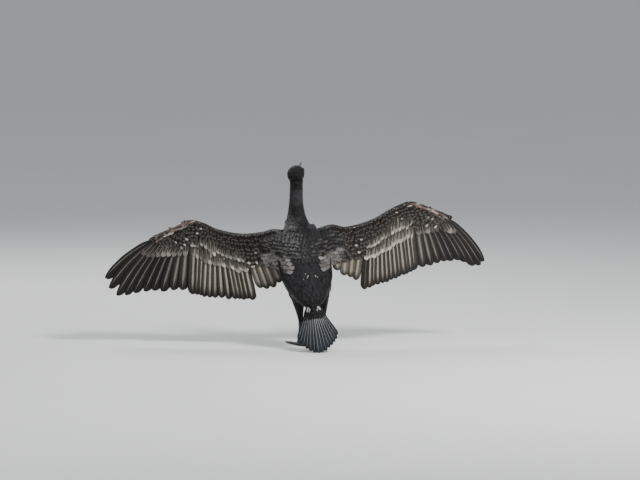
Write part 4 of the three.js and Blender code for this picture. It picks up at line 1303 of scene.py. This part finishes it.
class CORMORANT_OT_tail(bpy.types.Operator):
    """Make the stiff tail fan and its coverts"""

    bl_idname = "cormorant.tail"
    bl_label = "Tail"

    def execute(self, context):
        colours = context.scene.cormorant_colours
        rng = np.random.default_rng(context.scene.cormorant_sizes.seed + 31)
        slate = feather_material("tail_feather", shaft=(0.42, 0.43, 0.42), tip=tuple(colours.tip),
                                 rim=(0.01, 0.011, 0.012), rim_width=0.7, shaft_width=0.035,
                                 barbs=120.0, rough=0.42)
        ivory = Tree("tail_shaft")
        pale = ivory.mix(ivory.ramp(ivory.mark("along"), 0.3, 1.0), (0.5, 0.5, 0.47), (0.1, 0.1, 0.1))
        ivory = ivory.done(pale, 0.3)
        pile = Pile()
        for i in range(TAIL_FEATHERS):
            share = i / (TAIL_FEATHERS - 1) * 2 - 1
            angle = share * TAIL_FAN_HALF
            length = TAIL_LENGTH * (1 - 0.26 * abs(share) ** 1.6) + rng.normal(0, 1.0) - 1
            layer = 5 - 1.25 * abs(i - (TAIL_FEATHERS - 1) / 2)
            inner, outer = (7.2, 13.8) if share < 0 else (13.8, 7.2)
            tail_feather(pile, rng, angle, 0.0, length, inner, layer, np.array(colours.tail),
                         outer=outer, shaft=0.85, tip=0.12, quill=0.3, taper=True,
                         strip=FIRST_STRIPS["tail"] + TAIL_STRIP_STEP * i, thick=0.7)
        feather_object(pile, "tail_fan", [slate, ivory], "tail_feather", "tail")
        pile = Pile()
        for face in (1, -1):
            for row in range(5):
                count = 11 - row
                for k in range(count):
                    share = (k / (count - 1) * 2 - 1) * 0.95
                    angle = share * TAIL_FAN_HALF * (0.95 - 0.06 * row)
                    start = 26 - 14 * row
                    lift = (8.5 + 2.6 * row) * (1 - 0.35 * abs(share)) * face + 3 * (face < 0)
                    tail_feather(pile, rng, angle, start, start + 34 + 3 * row, 8.4, lift,
                                 np.array(colours.black) * 1.1, face=face, rows=8, columns=5, tip=0.5,
                                 quill=0.5, cup=1.0)
        for k in range(17):
            angle = (k / 16 * 2 - 1) * TAIL_FAN_HALF * 0.9 + rng.normal(0, 0.02)
            start = 24 + rng.uniform(-5, 5)
            tail_feather(pile, rng, angle, start, start + rng.uniform(9, 17), rng.uniform(0.9, 1.7), 12.2,
                         WHITE, rows=6, columns=3, tip=0.6, quill=0.6)
        sleek = feather_material("tail_covert", shaft=(0.03, 0.03, 0.03), tip=(0.75, 0.73, 0.7),
                                 rough=0.45, tip_from=0.66)
        feather_object(pile, "tail_coverts", [sleek], "plumage")
        return {"FINISHED"}


# Bill, throat and eyes

def horn_material(colours):
    """Bill horn: dark ridge, paler sides, fine grain along the bill."""
    tree = Tree("bill_horn")
    along, across = tree.mark("along"), tree.mark("across")
    cloud = tree.noise(180.0, 4.0)
    side = tuple(colours.horn)
    colour = tree.mix(cloud, side, tuple(0.6 * v for v in side))
    colour = tree.mix(tree.ramp(across, 0.45, 0.85), colour, (0.05, 0.045, 0.045))
    colour = tree.mix(tree.ramp(along, 0.86, 1.0, 0.0, 0.7), colour, (0.45, 0.3, 0.26))
    grain = tree.noise(600.0, 3.0)
    return tree.done(colour, tree.ramp(cloud, 0.2, 0.8, 0.3, 0.45), tree.bump(grain, 0.25, 0.0003),
                     Specular_IOR_Level=0.5)


def bare_material(colours):
    """Bare yellow-orange skin with fine wrinkles."""
    tree = Tree("bare_skin")
    cell = tree.nodes.new("ShaderNodeTexVoronoi")
    cell.inputs["Scale"].default_value = 750.0
    tree.link(tree.place(), cell.inputs["Vector"])
    cloud = tree.noise(160.0, 4.0)
    base = tuple(colours.gape)
    colour = tree.mix(cloud, base, (0.35, 0.16, 0.03))
    colour = tree.mix(tree.ramp(tree.noise(320.0, 2.0), 0.55, 0.75, 0.0, 0.6), colour, (0.05, 0.04, 0.02))
    normal = tree.bump(cell.outputs["Distance"], 0.7, 0.0004)
    return tree.done(colour, 0.5, normal, Subsurface_Weight=0.1, Subsurface_Scale=0.002)


# share of the bill, height of the section's middle, half width, reach up and down
UPPER_BILL = ((-0.2, 1.5, 8, 4, 3), (0, 2.9, 11, 6.2, 3.5), (0.14, 2.8, 10.1, 6.2, 3.4),
              (0.34, 2, 8.2, 5, 3), (0.58, 1.4, 6.6, 4.2, 2.6), (0.8, 1.2, 5.6, 4, 2.4),
              (0.9, 1, 5, 4, 2.6), (0.97, -0.6, 4.2, 4, 3.4), (1.02, -3.6, 3, 3.6, 3.8),
              (1.035, -8.4, 1.4, 2.2, 2.4))
LOWER_BILL = ((-0.16, -6, 8, 3, 3), (0, -6, 10.8, 4.6, 4.6), (0.14, -5.2, 9.6, 4.4, 4.2),
              (0.34, -4.2, 7.6, 3.6, 3.4), (0.58, -3.8, 5.8, 3, 2.8), (0.8, -3.6, 4.6, 2.6, 2.4),
              (0.92, -3.6, 3.4, 2.2, 2), (0.965, -3.8, 2, 1.4, 1.2))
BILL_START = 40.0
BILL_ROOT = 6.0                    # part of the bill under the face's feathers
# along the head, height of the section's middle, half width, reach up and down
POUCH_ROWS = ((14, -15, 8, 7, 8), (22, -14, 13, 9, 11), (32, -13, 13.5, 9, 11.5),
              (44, -11.5, 11, 7, 8.5), (58, -9.5, 7.5, 4.5, 5), (72, -7.5, 4, 2.5, 2.4))


def bill_piece(name, table, material, sides=44, count=60):
    """One half of the bill, with a groove along each side of the upper one."""
    numbered = [(i, *row) for i, row in enumerate(table)]
    index = np.linspace(0, len(table) - 1, count)
    share, up, half, above, below = (rows_at(numbered, index, k) for k in range(1, 6))
    centres = head_point(BILL_START + share * (BILL_LENGTH + BILL_ROOT), 0 * share, up)
    rings = rings_of(centres, half, above, below, HEAD_UP, sides)
    angle = np.linspace(0, 2 * np.pi, sides, endpoint=False)
    if name == "bill_upper":
        groove = np.exp(-((np.sin(angle) - 0.5) / 0.16) ** 2)
        depth = 0.16 * ease(share, 0.0, 0.12) * (1 - ease(share, 0.78, 0.92))
        rings = rings + (centres[:, None] - rings) * (groove * depth[:, None])[..., None]
    pile = Pile()
    pile.add(rings.reshape(-1, 3), closed_faces(count, sides),
             along=np.repeat(np.clip(share, 0, 1), sides), across=np.tile(np.sin(angle), count))
    made = pile.build(name + "_horn", [material], with_map=False)
    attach(made, "root")
    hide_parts(name)


class CORMORANT_OT_bill(bpy.types.Operator):
    """Make both halves of the bill and the throat pouch"""

    bl_idname = "cormorant.bill"
    bl_label = "Bill and throat"

    def execute(self, context):
        colours = context.scene.cormorant_colours
        horn = horn_material(colours)
        bill_piece("bill_upper", UPPER_BILL, horn)
        bill_piece("bill_lower", LOWER_BILL, horn)
        skin = bare_material(colours)
        pile = Pile()
        rings = head_rings(POUCH_ROWS, 36, 30, 1.0)
        pile.add(rings.reshape(-1, 3), closed_faces(36, 30))
        made = pile.build("throat_skin", [skin], with_map=False)
        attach(made, "root")
        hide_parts("throat_pouch")
        return {"FINISHED"}


def eye_material(colours):
    """Wet eye: black pupil, green iris with a dark rim."""
    tree = Tree("wet_eye")
    out = tree.mark("along")
    streak = tree.noise(1400.0, 3.0)
    green = tree.mix(streak, tuple(colours.iris), tuple(0.4 * v for v in colours.iris))
    green = tree.mix(tree.ramp(out, 0.62, 0.72), green, (0.004, 0.006, 0.006))
    colour = tree.mix(tree.ramp(out, 0.33, 0.29), green, (0.001, 0.001, 0.001))
    return tree.done(colour, 0.06, Coat_Weight=1.0, Coat_Roughness=0.02, Specular_IOR_Level=0.6)


class CORMORANT_OT_eyes(bpy.types.Operator):
    """Make both eyes with their lids"""

    bl_idname = "cormorant.eyes"
    bl_label = "Eyes"

    def execute(self, context):
        colours = context.scene.cormorant_colours
        wet = eye_material(colours)
        tree = Tree("lid_skin")
        grain = tree.bump(tree.noise(900.0, 2.0), 0.5, 0.0003)
        mottled = tree.mix(tree.noise(420.0, 2.0), (0.012, 0.013, 0.014), (0.1, 0.085, 0.03))
        rim = tree.done(mottled, 0.45, grain)
        for label, side in (("left", 1), ("right", -1)):
            centre = head_point(EYE_AHEAD, side * EYE_SIDE, EYE_UP)
            outward = unit(HEAD_SIDE * side + HEAD_FORWARD * 0.42)
            across = unit(np.cross(outward, HEAD_UP))
            up = np.cross(across, outward)
            ring = np.linspace(0, np.pi, 26)
            turn = np.linspace(0, 2 * np.pi, 32, endpoint=False)
            spoke = across * np.cos(turn)[:, None] + up * np.sin(turn)[:, None]
            radius = EYE_RADIUS * (1 + 0.08 * np.exp(-(ring / 0.45) ** 2))
            points = (centre + outward * (np.cos(ring) * radius)[:, None, None]
                      + spoke * (np.maximum(np.sin(ring), 0.004) * radius)[:, None, None])
            pile = Pile()
            pile.add(points.reshape(-1, 3), closed_faces(26, 32), along=np.repeat(ring / (np.pi / 2), 32))
            made = pile.build(f"eye_{label}_ball", [wet], with_map=False)
            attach(made, "root")
            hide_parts(f"eye_{label}")
            pile = Pile()
            around = np.linspace(0, 2 * np.pi, 14, endpoint=False)
            beads = 1 + 0.1 * np.sin(turn[:, None] * 15)
            for extra, thick, proud in ((-0.35, 0.75, 3.3), (0.75, 0.95, 2.6)):
                hub = centre + outward * proud + spoke * (LID_RADIUS + extra)
                tube = (hub[:, None] + spoke[:, None] * (np.cos(around) * thick * beads)[..., None]
                        + outward * (np.sin(around) * thick * beads)[..., None])
                tube = np.concatenate((tube, tube[:1]))
                pile.add(tube.reshape(-1, 3), tube_faces(33, 14))
            made = pile.build(f"eye_{label}_lids", [rim], with_map=False)
            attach(made, "root")
        return {"FINISHED"}


# Legs

TOE_ROOT = -22.0
TOE_RADIUS = 4.6
# outer, middle, inner and hind toe: length and heading, 0 straight ahead and positive outward
TOES = ((84, 20), (74, -3), (55, -30), (36, -140))
# share of the shank from heel to foot, half width, half depth
SHANK_ROWS = ((0, 7.6, 9), (0.12, 7.8, 9.6), (0.3, 5.8, 8), (0.6, 5, 7.4), (0.85, 5.8, 7.8),
              (0.95, 6.4, 6.8), (1.03, 4.6, 4.6), (1.06, 2.4, 2.4))
# share of the toe and thickness; then way past the toe's end, claw's thickness and height
TOE_ROWS = ((0, 1.15), (0.3, 1), (0.45, 0.84), (0.62, 0.95), (0.8, 0.72), (1, 0.66))
CLAW_ROWS = ((-2, 2.6, 3.6), (4, 2.3, 4.4), (9, 1.4, 3.6), (13, 0.35, 1.0))


def scale_material(colours):
    """Black scaled skin of legs and webs."""
    tree = Tree("leg_scales")
    cell = tree.nodes.new("ShaderNodeTexVoronoi")
    cell.inputs["Scale"].default_value = 420.0
    tree.link(tree.place(), cell.inputs["Vector"])
    base = tuple(colours.leg)
    cloud = tree.noise(120.0, 3.0)
    colour = tree.mix(cloud, base, tuple(2.2 * v for v in base))
    colour = tree.mix(tree.ramp(cell.outputs["Distance"], 0.3, 0.7, 0.0, 0.5), colour,
                      tuple(0.3 * v for v in base))
    normal = tree.bump(cell.outputs["Distance"], 0.8, -0.0008)
    return tree.done(colour, tree.ramp(cloud, 0.2, 0.8, 0.38, 0.55), normal)


def foot_x(side):
    """Place of a foot to the left."""
    return STANCE_SHIFT + side * FOOT_SPREAD


def toe_end(side, toe, reach=1.0):
    """End of a toe on the ground."""
    length, heading = toe
    heading = math.radians(heading)
    return np.array((foot_x(side) + side * math.sin(heading) * length * reach,
                     TOE_ROOT - math.cos(heading) * length * reach))


class CORMORANT_OT_legs(bpy.types.Operator):
    """Make scaled shanks, toes, webs and claws"""

    bl_idname = "cormorant.legs"
    bl_label = "Legs and feet"

    def execute(self, context):
        colours = context.scene.cormorant_colours
        scales = scale_material(colours)
        tree = Tree("claw_horn")
        claw = tree.done(tree.mix(tree.noise(300.0), (0.01, 0.01, 0.01), (0.05, 0.045, 0.04)), 0.35)
        for label, side in (("left", 1), ("right", -1)):
            pile = Pile()
            top = np.array((STANCE_SHIFT + side * (FOOT_SPREAD - HEEL_IN), 7, HEEL_HEIGHT + 6))
            foot = np.array((foot_x(side), TOE_ROOT, 9))
            share = np.linspace(0, SHANK_ROWS[-1][0], 64)
            rib = 1 + 0.035 * np.abs(np.sin(share * np.pi * 15)) ** 0.5 - 0.03
            centres = top + share[:, None] * (foot - top)
            half, depth = (rows_at(SHANK_ROWS, share, column) * rib for column in (1, 2))
            rings = rings_of(centres, half, depth, depth, np.array((0, -1.0, 0)), 20)
            pile.add(rings.reshape(-1, 3), closed_faces(64, 20))
            made = pile.build(f"shank_{label}_scales", [scales], with_map=False)
            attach(made, "root")
            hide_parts(f"shank_{label}")
            pile = Pile()
            self.toes(pile, side)
            self.webs(pile, side)
            made = pile.build(f"foot_{label}_web", [scales, claw], with_map=False)
            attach(made, "root")
            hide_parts(f"foot_{label}")
        return {"FINISHED"}

    def toes(self, pile, side):
        """Toes with scutes, and their claws."""
        start = np.array((foot_x(side), TOE_ROOT, 6.0))
        for toe in TOES:
            end = np.append(toe_end(side, toe), 3.4)
            share = np.linspace(0, 1, 48)
            scutes = 0.97 + 0.05 * np.abs(np.sin(share * toe[0] / 3.2))
            wide = TOE_RADIUS * rows_at(TOE_ROWS, share, 1) * scutes
            centres = start + share[:, None] * (end - start)
            rings = rings_of(centres, wide, wide, wide, np.array((0, 0, 1.0)), 16)
            rings[..., 2] = np.maximum(rings[..., 2], 0.0)
            pile.add(rings.reshape(-1, 3), closed_faces(48, 16))
            heading = unit(np.append((end - start)[:2], 0))
            out = np.linspace(CLAW_ROWS[0][0], CLAW_ROWS[-1][0], 14)
            centres = end + heading * out[:, None]
            centres[:, 2] = rows_at(CLAW_ROWS, out, 2)
            thick = rows_at(CLAW_ROWS, out, 1)
            rings = rings_of(centres, thick * 0.8, thick, thick, np.array((0, 0, 1.0)), 10)
            rings[..., 2] = np.maximum(rings[..., 2], 0.0)
            pile.add(rings.reshape(-1, 3), closed_faces(14, 10), slot=1)

    def webs(self, pile, side):
        """Folded webs that join all four toes."""
        base = np.array((foot_x(side), TOE_ROOT))
        for first, second in zip(TOES[:-1], TOES[1:]):
            a, b = toe_end(side, first, 0.94), toe_end(side, second, 0.94)
            s = np.linspace(0.04, 1, 16)[:, None]
            t = np.linspace(0, 1, 15)[None]
            edge_sag = 1 - 0.18 * 4 * t * (1 - t)
            x, y = (base[k] + ((a[k] - base[k]) * (1 - t) + (b[k] - base[k]) * t) * s * edge_sag
                    for k in (0, 1))
            wrinkle = 0.35 * np.sin(t * 34) * np.sin(np.pi * t) * s
            top = np.stack((x, y, 2.3 + wrinkle + 0 * x), axis=-1).reshape(-1, 3)
            low = np.stack((x, y, 0.0 * x), axis=-1).reshape(-1, 3)
            pile.add(np.concatenate((top, low)), shell(16, 15))


# Stage

PIXEL = 3.05                       # millimetres of the bird for one pixel of the photograph
VIEW_CENTRE = (320.0, 240.0)       # middle of the photograph, in pixels
BODY_COLUMN = 305.0                # column of the bird's middle, in pixels
TAIL_TIP_ROW = 352.0               # row of the tail's tip, in pixels
VIEW_AZIMUTH = math.radians(174)
VIEW_RISE = math.radians(5)
VIEW_AWAY = 12.0
FILM_WIDTH = 36.0
PHOTO_WIDTH = 640.0
FLOOR_REACH = 15.0
FLOOR_RISE = 5.0
# name, place in metres, size and power of each light
LIGHTS = (("key", (-1.5, 1.8, 2.6), 1.0, 120), ("fill", (2.4, 2.4, 1.2), 2.4, 20),
          ("rim", (0.8, -2.4, 2.6), 1.6, 60))
LIGHTS_AIM = (0, 0, 0.28)


class CORMORANT_OT_stage(bpy.types.Operator):
    """Make the floor, the lights and the camera"""

    bl_idname = "cormorant.stage"
    bl_label = "Stage"

    def execute(self, context):
        self.floor()
        self.lights(context)
        self.camera(context)
        return {"FINISHED"}

    def floor(self):
        """Pale floor that rises into a round backdrop far outside the view."""
        s = np.linspace(0, np.pi / 2, 20)
        reach = np.concatenate(((0.001, 2.0, 8.0), FLOOR_REACH + FLOOR_RISE * np.sin(s)))
        height = np.concatenate(((0.0, 0.0, 0.0), FLOOR_RISE * (1 - np.cos(s))))
        turn = np.linspace(0, 2 * np.pi, 64, endpoint=False)
        points = np.stack((reach[:, None] * np.cos(turn), reach[:, None] * np.sin(turn),
                           height[:, None] + 0 * turn), axis=-1).reshape(-1, 3)
        mesh = bpy.data.meshes.new("floor")
        mesh.from_pydata(points.tolist(), [], tube_faces(len(reach), 64).tolist())
        mesh.polygons.foreach_set("use_smooth", np.ones(len(mesh.polygons), bool))
        tree = Tree("pale_floor")
        colour = tree.mix(tree.noise(1.5), (0.76, 0.76, 0.745), (0.8, 0.8, 0.785))
        mesh.materials.append(tree.done(colour, 0.8))
        floor = bpy.data.objects.new("floor", mesh)
        bpy.context.scene.collection.objects.link(floor)

    def lights(self, context):
        """Large soft lights: a key above on the right, a fill, and a faint rim."""
        for name, place, size, power in LIGHTS:
            data = bpy.data.lights.new(name, "AREA")
            data.shape = "DISK"
            data.size = size
            data.energy = power
            lamp = bpy.data.objects.new(name, data)
            lamp.location = place
            aim = Vector(LIGHTS_AIM) - Vector(place)
            lamp.rotation_euler = aim.to_track_quat("-Z", "Y").to_euler()
            context.scene.collection.objects.link(lamp)
        world = bpy.data.worlds.new("studio")
        world.use_nodes = True
        world.node_tree.nodes["Background"].inputs["Color"].default_value = (0.9, 0.94, 1.0, 1.0)
        world.node_tree.nodes["Background"].inputs["Strength"].default_value = 0.5
        context.scene.world = world

    def camera(self, context):
        """Camera behind the bird, as far and as high as the photograph's view."""
        left = (BODY_COLUMN - VIEW_CENTRE[0]) * PIXEL
        up = (TAIL_TIP_ROW - VIEW_CENTRE[1]) * PIXEL - TAIL_TIP[1] * math.sin(VIEW_RISE)
        target = np.array((left, 0, up)) + SHIFT
        away = np.array((math.sin(VIEW_AZIMUTH) * math.cos(VIEW_RISE),
                         -math.cos(VIEW_AZIMUTH) * math.cos(VIEW_RISE), math.sin(VIEW_RISE)))
        data = bpy.data.cameras.new("camera")
        data.sensor_width = FILM_WIDTH
        data.lens = FILM_WIDTH * VIEW_AWAY / (PHOTO_WIDTH * PIXEL * MM)
        data.clip_end = 100
        camera = bpy.data.objects.new("camera", data)
        camera.location = Vector(target * MM + away * VIEW_AWAY)
        camera.rotation_euler = Vector(-away).to_track_quat("-Z", "Y").to_euler()
        context.scene.collection.objects.link(camera)
        context.scene.camera = camera


PIECES = (CORMORANT_OT_skin, CORMORANT_OT_body_coat, CORMORANT_OT_wings, CORMORANT_OT_tail,
          CORMORANT_OT_bill, CORMORANT_OT_eyes, CORMORANT_OT_legs, CORMORANT_OT_stage)


class CORMORANT_PT_panel(bpy.types.Panel):
    """Lists the sizes, the colours and the steps."""

    bl_idname = "CORMORANT_PT_panel"
    bl_label = "Cormorant"
    bl_space_type = "VIEW_3D"
    bl_region_type = "UI"
    bl_category = "Cormorant"

    def draw(self, context):
        layout = self.layout
        for group in (context.scene.cormorant_sizes, context.scene.cormorant_colours):
            box = layout.box()
            for key in group.__annotations__:
                box.prop(group, key)
        for piece in PIECES:
            layout.operator(piece.bl_idname)


CLASSES = (CormorantSizes, CormorantColours, *PIECES, CORMORANT_PT_panel)


def register():
    """Registers the classes and the two groups of settings."""
    for item in CLASSES:
        bpy.utils.register_class(item)
    bpy.types.Scene.cormorant_sizes = PointerProperty(type=CormorantSizes)
    bpy.types.Scene.cormorant_colours = PointerProperty(type=CormorantColours)


def unregister():
    """Removes what register added."""
    del bpy.types.Scene.cormorant_colours
    del bpy.types.Scene.cormorant_sizes
    for item in reversed(CLASSES):
        bpy.utils.unregister_class(item)


def main():
    """Makes every piece in order."""
    register()
    bpy.ops.cormorant.skin()
    bpy.ops.cormorant.body_coat()
    bpy.ops.cormorant.wings()
    bpy.ops.cormorant.tail()
    bpy.ops.cormorant.bill()
    bpy.ops.cormorant.eyes()
    bpy.ops.cormorant.legs()
    bpy.ops.cormorant.stage()


if __name__ == "__main__":
    main()
